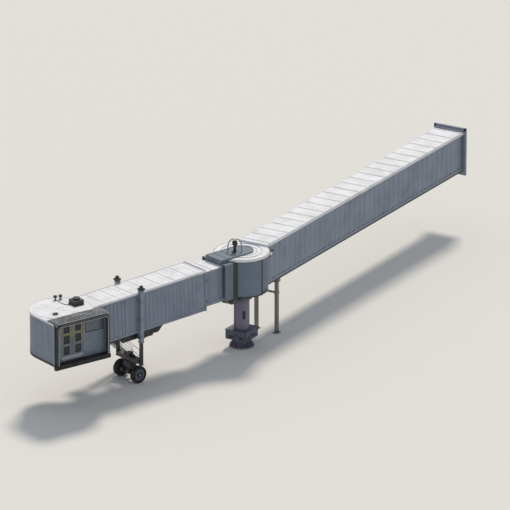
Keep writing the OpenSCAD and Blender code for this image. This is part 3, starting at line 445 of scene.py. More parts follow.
boltTree = repeatTree("boltHeads", "bolt",
                      {"headRadius": "NodeSocketFloat", "headHeight": "NodeSocketFloat"})
barTree = repeatTree("smallBars", "bar", {"barSize": "NodeSocketVector"})
upright = (0, 0, 0)
facePlusY = (-math.pi / 2, 0, 0)
facePlusX = (0, math.pi / 2, 0)


# points are in the piece's own frame. facings is one Euler angle, or a list with one for each point.
def repeatPiece(name, place, material, tree, sizes, points, facings):
    matrix, body = place
    turn = matrix.to_3x3()
    if not isinstance(facings, list):
        facings = [facings] * len(points)
    mesh = bpy.data.meshes.new(name + ".points")
    mesh.from_pydata([matrix @ Vector(p) for p in points], [], [])
    facing = mesh.attributes.new("facing", "FLOAT_VECTOR", "POINT")
    angles = [(turn @ Euler(e).to_matrix()).to_euler() for e in facings]
    facing.data.foreach_set("vector", [c for a in angles for c in a])
    seed = linkObject(name + ".seed", mesh)
    modifier = seed.modifiers.new(name, "NODES")
    modifier.node_group = tree
    for item in tree.interface.items_tree:
        if item.item_type == "SOCKET" and item.in_out == "INPUT" and item.name != "Geometry":
            modifier[item.identifier] = material if item.name == "finish" else sizes[item.name]
    result = plainMesh(seed)
    result.name = name
    bpy.data.objects.remove(seed)
    piece = linkObject(name, result)
    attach(piece, body)


# head is the radius and the height of the bolt heads or nuts.
def boltPiece(name, place, head, points, facings=upright):
    sizes = {"headRadius": head[0], "headHeight": head[1]}
    repeatPiece(name, place, boltZinc, boltTree, sizes, points, facings)


def barPiece(name, place, material, size, points, facings=upright):
    repeatPiece(name, place, material, barTree, {"barSize": size}, points, facings)


# Four bolts at the corners of a plate on each side of the middle line.
def plateBolts(x, y, z, dx, dy):
    return [(x + i * dx, s * y + j * dy, z) for s in (-1, 1) for i in (-1, 1) for j in (-1, 1)]


def onCircle(radius, z, angles):
    return [(radius * math.cos(a), radius * math.sin(a), z) for a in angles]


# Fixed walkway: rails at the walls' foot and head, covers on the panel joints, gutters and services.
floorZ, ceilingZ, roofZ = layout["floor"], layout["ceiling"], layout["roof"]
wallIn, wallOut = layout["walkHalf"] - layout["ribDepth"], layout["walkHalf"]
walkway = {
    "ends": (layout["walkStart"], layout["walkEnd"]), "railRun": (0.81, 14.395), "railHeight": 0.07,
    "railOut": 0.012, "jointEvery": 2.04, "joints": 6, "coverHalf": 0.022, "gutterOut": 0.02,
    "pipeRun": (0.98, 14.38), "pipes": ((-0.30, 0.022), (-0.24, 0.014), (0.26, 0.030)), "pipeDrop": 0.035,
    "clipEvery": 1.2, "clips": 11, "seamEvery": 0.6, "seams": 23, "boltPitch": 0.08,
    "boltHead": (0.009, 0.007),
}
makePiece("walkwayRails", onBase, trimPaint, [
    *[(bothBoxes, *walkway["railRun"], wallIn, wallOut + walkway["railOut"], z, z + walkway["railHeight"])
      for z in (floorZ - 0.045, ceilingZ - walkway["railHeight"])],
    *[(bothBoxes, *about(walkway["railRun"][0] + (k + 1) * walkway["jointEvery"], walkway["coverHalf"]),
       wallIn, wallOut + 0.004, floorZ + 0.02, ceilingZ - 0.06) for k in range(walkway["joints"])],
], bevel=0.003)
eaves = layout["roofHalf"]
makePiece("walkwayGutters", onBase, roofCoat, [
    (bothBoxes, *walkway["ends"], eaves, eaves + walkway["gutterOut"], ceilingZ - 0.01, roofZ + 0.006),
    (bothBoxes, *walkway["ends"], eaves + 0.012, eaves + 0.026, ceilingZ - 0.02, ceilingZ + 0.012),
], bevel=0.003)

# Conduits and a fire pipe are clipped under the floor.
pipeZ, clipTop = layout["deck"] - walkway["pipeDrop"], layout["deck"] + 0.012
clipXs = [(k + 1) * walkway["clipEvery"] for k in range(walkway["clips"])]
makePiece("walkwayServices", onBase, zincSteel, [
    *[(addRod, (walkway["pipeRun"][0], y, pipeZ), (walkway["pipeRun"][1], y, pipeZ), radius)
      for y, radius in walkway["pipes"]],
    *[(addBox, *about(x, 0.015), -0.33, -0.21, pipeZ - 0.03, clipTop) for x in clipXs],
    *[(addBox, *about(x, 0.015), 0.22, 0.30, pipeZ - 0.04, clipTop) for x in clipXs],
], smooth=True)
seamStart = (sum(walkway["ends"]) - (walkway["seams"] - 1) * walkway["seamEvery"]) / 2
boltPiece("walkwayRoofBolts", onBase, walkway["boltHead"],
          [(seamStart + i * walkway["seamEvery"] + s * 0.026, k * walkway["boltPitch"], roofZ + 0.003)
           for i in range(walkway["seams"]) for s in (-1, 1) for k in range(-6, 7)])

# Trestle: stiffeners round the foot of each post, a head plate and a collar under it.
trestle = {"x": 1.65, "y": 0.40, "footBolts": (0.09, 0.075), "boltHead": (0.014, 0.02),
           "stiffener": (0.02, 0.11)}
x, y = trestle["x"], trestle["y"]
boltPiece("trestleBolts", onBase, trestle["boltHead"],
          plateBolts(x, y, 0.026, *trestle["footBolts"]))
makePiece("trestlePlates", onBase, postPaint, [
    (bothBoxes, x - 0.105, x - 0.055, *about(y, 0.006), *trestle["stiffener"]),
    (bothBoxes, x + 0.055, x + 0.105, *about(y, 0.006), *trestle["stiffener"]),
    (bothBoxes, *about(x, 0.006), y - 0.095, y - 0.055, *trestle["stiffener"]),
    (bothBoxes, *about(x, 0.006), y + 0.055, y + 0.095, *trestle["stiffener"]),
    (bothBoxes, *about(x, 0.075), *about(y, 0.075), 1.84, 1.858),
    (bothBoxes, *about(x, 0.07), *about(y, 0.07), 1.41, 1.49),
], bevel=0.002)

# Flashing at the walkway's fixed end: jambs, a head and a lip over the roof sheet.
flashing = {"jamb": (0.56, 0.64), "low": 1.85, "top": 3.60}
x = layout["walkEnd"]
makePiece("terminalFlashing", onBase, trimPaint, [
    (bothBoxes, x - 0.03, x, *flashing["jamb"], flashing["low"], flashing["top"]),
    (addBox, x - 0.03, x, -0.64, 0.64, flashing["top"] - 0.10, flashing["top"]),
    (addBox, x - 0.10, x - 0.001, -0.53, 0.53, 3.474, 3.53),
], bevel=0.004)
print("walkway made")

# Rotunda: standing rings on its roof, open where the walkway starts, and the rails of both curtains.
rotunda = {
    "rings": ((0.52, 0.012, 3.394, 3.406), (0.70, 0.012, 3.394, 3.408), (0.93, 0.022, 3.380, 3.396)),
    "fixedRail": (0.893, 0.899), "fixedSpan": (36.2, 100.9),
    "swingRail": (0.917, 0.926), "swingSpan": (41.6, 99.0),
    "slewCircle": 0.355, "slewBolts": 24, "slewHead": (0.013, 0.014),
}


def roofRing(bm, radius, width, z0, z1):
    start = layout["walkStart"]
    cut = math.degrees(math.acos(start / radius)) + 1.0 if radius > start else 0.0
    addArcBar(bm, *about(radius, width / 2), z0, z1, cut, 360 - cut)


makePiece("rotundaRoofRings", onBase, trimPaint,
          [(roofRing, *ring) for ring in rotunda["rings"]], smooth=True)
makePiece("rotundaCurtainRails", onBase, machineEnamel, [
    (bothArcs, *rotunda["fixedRail"], 3.27, 3.336, *rotunda["fixedSpan"]),
    (bothArcs, *rotunda["fixedRail"], 2.096, 2.13, *rotunda["fixedSpan"]),
])
makePiece("swingCurtainRails", onSwing, machineEnamel, [
    (bothArcs, *rotunda["swingRail"], 3.29, 3.328, *rotunda["swingSpan"]),
    (bothArcs, *rotunda["swingRail"], 2.034, 2.075, *rotunda["swingSpan"]),
    (bothArcs, 0.903, 0.934, 2.032, 3.312, 97.4, 99.2),  # the curtains' dark end bars
])

# Column: anchor studs and nuts, a hatch set back in the slot, two bands and two conduits.
column = {
    "boltCircle": 0.36, "bolts": 12, "nut": (0.027, 0.026), "hatchAngle": 228.0, "hatchZ": 1.025,
    "bands": (0.70, 1.62), "conduitAngles": (150, 330), "conduitRise": (0.64, 1.0, 1.4, 1.815),
    "clips": (0.8, 1.2, 1.6),
}
anchorAngles = [math.radians(360 / column["bolts"] * i) for i in range(column["bolts"])]
anchors = onCircle(column["boltCircle"], 0.053, anchorAngles)
boltPiece("anchorNuts", onBase, column["nut"], anchors, [(0, 0, a) for a in anchorAngles])
makePiece("anchorStuds", onBase, boltZinc, [
    *[(addRod, (x, y, 0.035), (x, y, 0.092), 0.014, 10) for x, y, _ in anchors],
    *[(addRod, (x, y, 0.0395), (x, y, 0.0435), 0.034, 16) for x, y, _ in anchors],  # washers
])
hatchPlace = (Matrix.Rotation(math.radians(column["hatchAngle"]), 4, "Z"), "base")
z = column["hatchZ"]
makePiece("columnHatch", hatchPlace, machineEnamel, [
    (addBox, 0.208, 0.222, -0.052, 0.052, z + 0.003, z + 0.297),
    (addBox, 0.222, 0.232, 0.022, 0.034, z + 0.12, z + 0.18),  # its handle
], bevel=0.002)
conduits = [(math.cos(math.radians(a)), math.sin(math.radians(a))) for a in column["conduitAngles"]]
makePiece("columnBands", onBase, columnPaint, [
    *[(addArcBar, 0.259, 0.266, z, z + 0.02, 0, 360, 6) for z in column["bands"]],
    *[(addPipe, [(0.285 * c, 0.285 * s, z) for z in column["conduitRise"]], 0.016) for c, s in conduits],
    *[(addBox, *about(0.27 * c, 0.02), *about(0.27 * s, 0.02), z, z + 0.02)
      for c, s in conduits for z in column["clips"]],
], smooth=True)

# Plant cabinet: handles, hinges and louvres on each of its four sides.
cabinet = {"half": 0.40, "z": 0.30, "handleY": 0.03, "hingeY": 0.375, "hinges": (0.05, 0.26), "louvres": 6,
           "louvreEvery": 0.017, "louvreTilt": -0.5}


def cabinetSide(bm, quarter):
    c, z, hingeY = cabinet["half"], cabinet["z"], cabinet["hingeY"]
    tilt = Matrix.Rotation(cabinet["louvreTilt"], 4, "Y")
    made = []
    for s in (-1, 1):
        made += addBox(bm, c - 0.005, c + 0.012, *about(s * cabinet["handleY"], 0.008), z + 0.13, z + 0.20)
        for h in cabinet["hinges"]:
            foot, head = about(z + h, 0.02)
            made += addRod(bm, (c - 0.001, s * hingeY, foot), (c - 0.001, s * hingeY, head), 0.008, 8)
        for i in range(cabinet["louvres"]):
            low = z + 0.05 + i * cabinet["louvreEvery"]
            made += addBox(bm, c - 0.008, c - 0.001, *about(s * 0.20, 0.09), low, low + 0.008, tilt)
    bmesh.ops.transform(bm, matrix=Matrix.Rotation(quarter * math.pi / 2, 4, "Z"), verts=made)


makePiece("cabinetFittings", onBase, machineEnamel, [(cabinetSide, k) for k in range(4)])
slewAngles = [math.radians(360 / rotunda["slewBolts"] * i + 4) for i in range(rotunda["slewBolts"])]
boltPiece("slewBolts", onSwing, rotunda["slewHead"],
          onCircle(rotunda["slewCircle"], 1.777, slewAngles))

# Hood: edge angles, a centre seam and a rain lip, with a raised frame under the cable post.
hood = {"side": (0.598, 0.606), "run": (0.90, 1.232), "straps": (0.97, 1.09, 1.20), "seams": (0.62, 0.92),
        "top": 3.432, "boltHead": (0.009, 0.008)}
makePiece("hoodTrim", onSwing, hoodPaint, [
    (bothBoxes, *hood["run"], *hood["side"], 3.24, 3.316),
    (bothBoxes, *hood["run"], *hood["side"], 2.03, 2.09),
    *[(bothBoxes, *about(x, 0.012), *hood["side"], 2.09, 3.24) for x in hood["straps"]],
    (bothBoxes, 0.0, 1.236, 0.390, 0.400, hood["top"], 3.445),
    (addBox, 1.228, 1.240, -0.606, 0.606, 3.29, 3.33),
    (addBox, 1.226, 1.238, -0.40, 0.40, 3.30, 3.445),
    *[(addBox, *about(x, 0.01), -0.39, 0.39, hood["top"], 3.442) for x in hood["seams"]],
    (addArcBar, 0.388, 0.400, hood["top"], 3.445, 90, 270, 5),
], bevel=0.002)

# A pale conduit rises beside the post, arches over it and ends on the inner tunnel's side of the hood.
conduit = {
    "radius": 0.020, "flange": 0.04, "smoothing": 3,
    "route": [(0.12, 0.14, 3.434), (0.12, 0.14, 3.60), (0.125, 0.13, 3.72), (0.16, 0.11, 3.82),
              (0.22, 0.07, 3.88), (0.30, 0.0, 3.90), (0.38, -0.06, 3.88), (0.44, -0.11, 3.82),
              (0.475, -0.14, 3.72), (0.48, -0.15, 3.60), (0.48, -0.15, 3.434)],
}
route = [Vector(p) for p in conduit["route"]]
bend = [a.lerp(b, k / 4) for a, b in zip(route, route[1:]) for k in range(4)] + route[-1:]
for _ in range(conduit["smoothing"]):
    bend[1:-1] = [(p + q * 2 + r) / 4 for p, q, r in zip(bend, bend[1:], bend[2:])]
makePiece("cableConduit", onSwing, zincSteel, [
    (addPipe, bend, conduit["radius"], 12),
    *[(addRod, (x, y, hood["top"]), (x, y, 3.45), conduit["flange"], 16)
      for x, y, _ in (route[0], route[-1])],
], smooth=True)
post = {"x": 0.30, "foot": 3.433}  # carries a junction box with two glands, under a round cap
x, z = post["x"], post["foot"]
makePiece("postFittings", onSwing, machineEnamel, [
    (addBox, *about(x, 0.065), -0.065, 0.065, z + 0.24, z + 0.34),
    (bothRods, (x, 0.04, z + 0.26), (x, 0.11, z + 0.26), 0.018, 12),
    (addRod, (x, 0, z + 0.375), (x, 0, z + 0.40), 0.085, 24, 0.06),
], bevel=0.003)
boltPiece("hoodBolts", onSwing, hood["boltHead"],
          [(0.93 + 0.05 * i, s * 0.609, z) for s in (-1, 1) for i in range(6) for z in (2.06, 3.28)],
          facePlusY)
x, z = layout["hingeX"], layout["hingeZ"]
makePiece("hingeCaps", onSwing, boltZinc, [
    (bothRods, (x, 0.43, z), (x, 0.447, z), 0.052, 24),
    (bothRods, (x, 0.446, z), (x, 0.456, z), 0.022, 6),
])
print("rotunda made")

# Walkway lamp: a lens, a hood with cheeks over it, and cooling ribs behind.
lamp = {"x": 0.865, "lensHalf": 0.07, "hoodHalf": 0.10, "ribs": 5, "ribEvery": 0.028}
x = lamp["x"]
makePiece("walkwayLampLens", onBase, lampLens,
          [(addBox, *about(x, lamp["lensHalf"]), -0.647, -0.642, 3.09, 3.20)], bevel=0.002)
makePiece("walkwayLampHood", onBase, machineEnamel, [
    (addBox, *about(x, lamp["hoodHalf"]), -0.672, -0.56, 3.268, 3.280),
    *[(addBox, *about(x + s * 0.094, 0.004), -0.668, -0.60, 3.20, 3.27) for s in (-1, 1)],
    *[(addBox, *about(x, 0.08), -0.570 + i * 0.001, -0.562, 3.07 + i * lamp["ribEvery"],
       3.08 + i * lamp["ribEvery"]) for i in range(lamp["ribs"])],
], bevel=0.0015)

# Tunnels: rails along the walls, roof seams, and roller boxes at the mouth that guide the inner tunnel.
inner = {"half": 0.45, "run": (0.03, 4.69), "seams": (0.63, 1.23, 1.83, 2.43, 3.03, 3.63, 4.23)}
outer = {"half": 0.54, "run": (1.025, 5.60), "posts": (2.05, 3.05, 4.45, 5.25), "rollers": (0.30, 1.05),
         "seams": 7, "seamEvery": 0.6, "firstSeam": 1.305, "boltPitch": 0.085, "collarX": 0.981}
makePiece("innerTunnelRails", onInner, trimPaint, [
    *[(bothBoxes, *inner["run"], inner["half"] - 0.016, inner["half"] + 0.006, z0, z1)
      for z0, z1 in ((1.262, 1.328), (0.09, 0.20))],
    *[(addBox, *about(x, 0.008), -inner["half"], inner["half"], 1.328, 1.338) for x in inner["seams"]],
], bevel=0.002)
makePiece("outerTunnelRails", onOuter, trimPaint, [
    *[(bothBoxes, *outer["run"], outer["half"] - 0.017, outer["half"] + 0.006, z0, z1)
      for z0, z1 in ((0.01, 0.075), (1.33, 1.382))],
    *[(bothBoxes, *about(x, 0.018), outer["half"] - 0.017, outer["half"] + 0.003, 0.07, 1.335)
      for x in outer["posts"]],
], bevel=0.002)
makePiece("outerRoofEdges", onOuter, roofCoat, [
    (bothBoxes, 0.985, 5.58, 0.552, 0.566, 1.372, 1.446),
    (addBox, 0.972, 0.986, -0.566, 0.566, 1.372, 1.452),
], bevel=0.002)
makePiece("collarRollers", onOuter, machineEnamel, [
    *[(bothBoxes, 0.925, 0.984, 0.462, 0.53, *about(z, 0.06)) for z in outer["rollers"]],
    *[(bothRods, (0.935, 0.478, z - 0.045), (0.935, 0.478, z + 0.045), 0.024, 16)
      for z in outer["rollers"]],
    *[(addBox, 0.93, 0.984, *about(y, 0.05), 1.352, 1.42) for y in (-0.3, 0.3)],
], bevel=0.003)
boltPiece("collarBolts", onOuter, (0.009, 0.009),
          [(outer["collarX"], s * 0.53, 0.08 + i * 0.105) for s in (-1, 1) for i in range(13)]
          + [(outer["collarX"], -0.5 + i * 0.1, 1.416) for i in range(11)], facePlusX)
boltPiece("outerRoofBolts", onOuter, (0.009, 0.007),
          [(outer["firstSeam"] + outer["seamEvery"] * i, k * outer["boltPitch"], 1.433)
           for i in range(outer["seams"]) for k in range(-6, 7)])

# Undercarriage: drive box, pumps, hydraulic unit and struts beside the lift, with looped hoses.
carriage = {"x": 3.882, "strutY": 0.43, "strut": 0.02, "pump": 0.055}
hose = {"x": 3.79, "y": 0.46, "apart": 0.03, "radius": 0.009,
        "loop": ((-0.2, -0.19), (-0.1, -0.235), (0, -0.26), (0.04, -0.25), (0.07, -0.22), (0.075, -0.16))}
x, y = carriage["x"], carriage["strutY"]
makePiece("undercarriageParts", onOuter, machineEnamel, [
    (addBox, x - 0.70, x - 0.25, -0.37, 0.37, -0.33, -0.175),
    (bothRods, (x - 0.22, 0.20, -0.24), (x + 0.16, 0.20, -0.24), carriage["pump"], 20),
    (addBox, x + 0.56, x + 0.82, -0.25, 0.15, -0.27, -0.02),
    (bothRods, (x - 0.95, y, -0.03), (x - 0.55, y, -0.21), carriage["strut"], 10),
    (bothRods, (x + 0.75, y, -0.03), (x + 0.40, y, -0.21), carriage["strut"], 10),
    (bothBoxes, *about(x, 0.13), *about(0.49, 0.06), -0.17, -0.15),
], bevel=0.004)
makePiece("undercarriagePipes", onOuter, bumperRubber, [
    (addPipe, [(hose["x"] - hose["apart"] * k + dx, s * (hose["y"] + hose["apart"] * k), z)
               for dx, z in hose["loop"]], hose["radius"], 8) for s in (-1, 1) for k in range(2)
], smooth=True)

# Cable tray: five cables that wander a few millimetres, on brackets with struts.
tray = {"seed": 4, "cables": 5, "cable": 0.013, "y": -0.58, "apart": 0.038, "z": 0.448, "x": 1.13,
        "step": 0.3, "brackets": 5, "firstBracket": 1.20, "bracketEvery": 0.62}
random.seed(tray["seed"])
makePiece("trayCables", onOuter, bumperRubber, [
    (addPipe, [(tray["x"] + tray["step"] * i, tray["y"] - k * tray["apart"] + random.uniform(-0.006, 0.006),
                tray["z"] + random.uniform(0, 0.008)) for i in range(9)], tray["cable"], 8)
    for k in range(tray["cables"])
], smooth=True)
bracketXs = [tray["firstBracket"] + i * tray["bracketEvery"] for i in range(tray["brackets"])]
makePiece("traySupports", onOuter, trimPaint, [
    *[(addBox, *about(x, 0.012), -0.80, -0.535, 0.33, 0.345) for x in bracketXs],
    *[(addRod, (x, -0.78, 0.34), (x, -0.545, 0.16), 0.012, 8) for x in bracketXs],
])

# Service door in the far wall: casing, drip hood, kick plate, hinges and a small pane.
serviceDoor = {"x": (4.71, 5.14), "z": (0.06, 1.06), "casing": (-0.549, -0.522), "casingWidth": 0.03,
               "hinges": (0.15, 0.50, 0.85)}
(x0, x1), (z0, z1), edge = serviceDoor["x"], serviceDoor["z"], serviceDoor["casingWidth"]
makePiece("serviceDoorTrim", onOuter, trimPaint, [
    *[(addBox, a, b, *serviceDoor["casing"], z0, z1 + edge) for a, b in ((x0 - edge, x0), (x1, x1 + edge))],
    (addBox, x0 - edge, x1 + edge, *serviceDoor["casing"], z1, z1 + edge),
    (addBox, x0 - 0.05, x1 + 0.05, -0.61, -0.539, z1 + 0.05, z1 + 0.065),
    (addBox, x0 + 0.04, x1 - 0.04, -0.5445, -0.539, z0 + 0.03, z0 + 0.20),
    *[(addRod, (x0 + 0.006, -0.545, z0 + h - 0.03), (x0 + 0.006, -0.545, z0 + h + 0.03), 0.009, 10)
      for h in serviceDoor["hinges"]],
], bevel=0.002)
makePiece("serviceDoorGlass", onOuter, windowGlass,
          [(addBox, x0 + 0.13, x0 + 0.30, -0.5435, -0.5395, 0.70, 0.93)])
print("tunnels made")

# Lift: flanges round the outer tubes, ties to the tunnel, caps, and greased strips on the legs.
liftParts = {"y": 0.615, "tube": 0.065, "leg": 0.048, "capY": 0.63, "flange": 0.022, "flangeHeight": 0.016,
             "flanges": (1.48, 1.70, 2.30, 2.90, 3.30), "ties": (1.62, 2.95)}


def tubeFlange(bm, z):
    y, t, top = liftParts["y"], liftParts["tube"], z + liftParts["flangeHeight"]
    edge = t + liftParts["flange"]
    for a, b in ((t, edge), (-edge, -t)):
        bothBoxes(bm, a, b, *about(y, edge), z, top)
        bothBoxes(bm, -t, t, y + a, y + b, z, top)


makePiece("liftFlanges", onTubes, trimPaint, [
    *[(tubeFlange, z) for z in liftParts["flanges"]],
    *[(bothBoxes, a, b, 0.54, 0.70, z, z + 0.02) for z in liftParts["ties"]
      for a, b in ((-0.12, -0.066), (0.066, 0.12))],
], bevel=0.002)
y, g, capY = liftParts["y"], liftParts["leg"], liftParts["capY"]
makePiece("liftCapFittings", onTubes, machineEnamel, [
    (bothRods, (0, capY, 3.468), (0, capY, 3.482), 0.045, 20),
    (bothRods, (0, capY, 3.48), (0, capY, 3.50), 0.016, 10),
    (bothBoxes, -0.10, -0.082, *about(capY, 0.03), 3.29, 3.36),
], smooth=True)
makePiece("liftLegParts", onLegs, machineEnamel, [
    (bothBoxes, *about(0, g + 0.016), *about(y, g + 0.016), 0.672, 0.69),  # foot plates
    (bothBoxes, g, g + 0.008, *about(y, 0.02), 0.90, 1.20),
    (bothBoxes, -g - 0.008, -g, *about(y, 0.02), 0.90, 1.20),
    (bothBoxes, -0.10, -0.05, 0.50, 0.60, 0.74, 0.86),  # gussets
    (bothBoxes, 0.05, 0.10, 0.50, 0.60, 0.74, 0.86),
    (addRod, (0, -0.25, 0.89), (0, 0.25, 0.89), 0.045, 20),  # the screws' shaft and gearbox
    (addBox, -0.09, 0.09, -0.09, 0.09, 0.85, 0.97),
], bevel=0.003)
boltPiece("liftCapBolts", onTubes, (0.012, 0.012), plateBolts(0, capY, 3.403, 0.075, 0.075))

# Bogie: drive motors with cooling fins, chain guards inside the wheels, and two cheek plates.
bogie = {"motorY": 0.17, "motorZ": 0.35, "fin": 0.074, "fins": 9, "finEvery": 0.05}
y, z = bogie["motorY"], bogie["motorZ"]
finXs = [-0.20 + i * bogie["finEvery"] for i in range(bogie["fins"])]
makePiece("bogieParts", onBogie, machineEnamel, [
    *[(bothRods, (x - 0.006, y, z), (x + 0.006, y, z), bogie["fin"], 20) for x in finXs],
    (bothBoxes, -0.06, 0.06, *about(y, 0.045), 0.41, 0.45),
    (bothBoxes, -0.14, 0.14, 0.30, 0.325, 0.21, 0.37),
    *[(addBox, x, x + 0.012, -0.16, 0.16, 0.40, 0.60) for x in (-0.115, 0.103)],
])

# Wheels: a hub cap and two raised rings on the disc, ten nuts, and three rows of lugs round the tyre.
wheel = {
    "radius": 0.29, "track": 0.45, "rings": ((0.150, 0.178, 0.050, 0.072), (0.090, 0.110, 0.052, 0.062)),
    "nuts": 10, "nutCircle": 0.075, "nut": (0.010, 0.016), "lugs": 28, "lug": (0.010, 0.044, 0.036),
    "lugCircle": 0.2865, "lugRow": 0.052,
}


def wheelRim(bm, side):
    y, z = side * wheel["track"], wheel["radius"]
    addRod(bm, (0, y + side * 0.086, z), (0, y + side * 0.112, z), 0.048, 24, 0.036)
    place = Matrix.Translation((0, y, z)) @ Matrix.Rotation(-side * math.pi / 2, 4, "X")
    for inside, outside, low, high in wheel["rings"]:
        bmesh.ops.transform(bm, matrix=place, verts=addArcBar(bm, inside, outside, low, high, 0, 360, 10))


z, nutCircle, lugCircle = wheel["radius"], wheel["nutCircle"], wheel["lugCircle"]
lugTurns = [(row, 2 * math.pi * k / wheel["lugs"] + row * math.pi / wheel["lugs"])
            for k in range(wheel["lugs"]) for row in (-1, 0, 1)]
nutTurns = [2 * math.pi * k / wheel["nuts"] for k in range(wheel["nuts"])]
for side, word in ((1, "left"), (-1, "right")):
    onWheel = (lift, "wheel_" + word)
    y = side * wheel["track"]
    makePiece(word + "WheelRim", onWheel, trimPaint, [(wheelRim, side)], smooth=True)
    boltPiece(word + "WheelNuts", onWheel, wheel["nut"],
              [(nutCircle * math.cos(a), y + side * 0.062, z + nutCircle * math.sin(a)) for a in nutTurns],
              facePlusY)
    barPiece(word + "TyreLugs", onWheel, tyreRubber, wheel["lug"],
             [(lugCircle * math.cos(a), y + row * wheel["lugRow"], z + lugCircle * math.sin(a))
              for row, a in lugTurns], [(0, -a, 0) for _, a in lugTurns])
print("lift and bogie made")

# Service stair and landing: bar gratings in the treads, bright nosings, foot rollers and toe boards.
stair = {"y0": -1.12, "y1": -0.70, "middle": -0.91, "pinZ": 1.7042, "steps": 12, "rise": 0.13258,
         "run": 0.14318, "bars": 13, "barEvery": 0.03, "bar": (0.140, 0.006, 0.010),
         "nosing": (0.012, 0.376, 0.014), "rollerZ": 0.047, "roller": (0.046, 24), "pin": (0.012, 12)}
treads = [(-i * stair["run"], stair["pinZ"] - i * stair["rise"] + 0.018)
          for i in range(1, stair["steps"] + 1)]
barPiece("treadGratings", onStair, zincSteel, stair["bar"],
         [(x + 0.046, stair["y0"] + (k + 1) * stair["barEvery"], z)
          for x, z in treads for k in range(stair["bars"])])
barPiece("treadNosings", onStair, boltZinc, stair["nosing"],
         [(x - 0.030, stair["middle"], z) for x, z in treads])
x, z = -stair["run"] * (stair["steps"] + 0.5), stair["rollerZ"]
rollerYs = (stair["y0"] - 0.022, stair["y1"] + 0.002)
makePiece("stairRollers", onStair, tyreRubber, [
    *[(addRod, (x, y, z), (x, y + 0.02, z), *stair["roller"]) for y in rollerYs],
    *[(addRod, (x, y - 0.004, z), (x, y + 0.024, z), *stair["pin"]) for y in rollerYs],
], smooth=True)
landing = {"z": 1.7642, "run": (0.06, 0.68), "bars": 20, "barEvery": 0.0305, "bar": (0.006, 0.54, 0.010)}
z, (x0, x1) = landing["z"], landing["run"]
barPiece("landingGrating", onLanding, zincSteel, landing["bar"],
         [(x0 + 0.02 + i * landing["barEvery"], -0.84, z + 0.005) for i in range(landing["bars"])])
makePiece("landingTrim", onLanding, zincSteel, [
    (addBox, x0, x1, -1.128, -1.120, z - 0.045, z + 0.06),
    (addBox, x1, x1 + 0.008, -1.128, -0.56, z - 0.045, z + 0.06),
    *[(addRod, (x, -1.06, z - 0.04), (x, -0.56, z - 0.03), 0.014, 8) for x in (0.12, 0.60)],
], bevel=0.002)
print("stair made")

# Cab: roof edge and seams, then base rail, panel seams and head rail, and the edge of the floor.
cabParts = {"radius": 1.03, "roofTop": 1.39, "roofOut": 0.02, "front": 1.09, "jog": 0.60,
            "roofEdge": (1.326, 1.398), "floorEdge": (-0.11, -0.07), "baseRail": (0.0, 0.07),
            "headRail": (1.25, 1.32)}
r, z = cabParts["radius"] + cabParts["roofOut"], cabParts["roofTop"] + 0.012
seamWays = [(math.cos(math.radians(180 + a)), math.sin(math.radians(180 + a))) for a in range(-75, 76, 50)]
makePiece("cabRoofTrim", onCab, roofCoat, [
    (addArcBar, r - 0.001, r + 0.004, *cabParts["roofEdge"], 60, 270),
    (addBox, 0.0, cabParts["front"], -r - 0.004, -r + 0.001, *cabParts["roofEdge"]),
    (addBox, cabParts["jog"], cabParts["front"], r - 0.001, r + 0.004, *cabParts["roofEdge"]),
    *[(addRod, (0.12 * c, 0.12 * s, z), (0.94 * c, 0.94 * s, z), 0.006, 6) for c, s in seamWays],
    (addArcBar, 0.10, 0.13, z - 0.002, z + 0.008, 0, 360, 10),
    *[(addRod, (x, -0.90, z), (x, 0.80, z), 0.006, 6) for x in (0.25, 0.50)],
], smooth=True)
r = cabParts["radius"]
rails = ((*cabParts["baseRail"], 0.008), (*cabParts["headRail"], 0.006))
between = (cabParts["baseRail"][1], cabParts["headRail"][0])
makePiece("cabWallTrim", onCab, shellPaint, [
    *[(addArcBar, r - 0.002, r + out, z0, z1, 221, 270) for z0, z1, out in rails],
    *[(addBox, 0.0, 1.085, -r - out, -r + 0.002, z0, z1) for z0, z1, out in rails],
    *[(addBox, cabParts["jog"], 1.085, r - 0.002, r + out, z0, z1) for z0, z1, out in rails],
    *[(addBox, *about(x, 0.012), -r - 0.004, -r + 0.002, *between) for x in (0.36, 0.72)],
    *[(addArcBar, r - 0.002, r + 0.004, *between, *about(a, 0.7), 0.7) for a in (236, 253)],
])
makePiece("cabFloorTrim", onCab, framePaint, [
    (addArcBar, r - 0.002, r + 0.010, *cabParts["floorEdge"], 181, 270),
    (addArcBar, r - 0.002, r + 0.010, *cabParts["floorEdge"], 58, 181),
    (addBox, 0.0, cabParts["front"], -r - 0.010, -r + 0.002, *cabParts["floorEdge"]),
])

# Front doors: two leaves of three panes, and the front window beside them under its painted reflection.
doors = {"y0": -0.764, "leaf": 0.459, "paneHalf": (0.10, 0.125), "firstPane": 0.365, "paneEvery": 0.375,
         "bead": 0.012, "windowY": 0.924, "windowZ": (0.83, 1.24), "handle": (0.50, 0.82),
         "hinges": (0.15, 0.65, 1.15)}
doorEnd = doors["y0"] + 2 * doors["leaf"]
# Painted reflection: a grey skin laid over the front window's glass.
makePiece("frontWindowPaintedReflection", onCab, reflectionSkinPaint,
          [(addBox, 1.0665, 1.068, doorEnd + 0.072, 0.922, 0.832, 1.238)])


# A black rubber bead round one pane, on the outside.
def paneBead(bm, y0, y1, z0, z1):
    w = doors["bead"]
    for a, b, c, d in ((y0 - w, y0, z0 - w, z1 + w), (y1, y1 + w, z0 - w, z1 + w),
                       (y0, y1, z0 - w, z0), (y0, y1, z1, z1 + w)):
        addBox(bm, 1.078, 1.086, a, b, c, d)


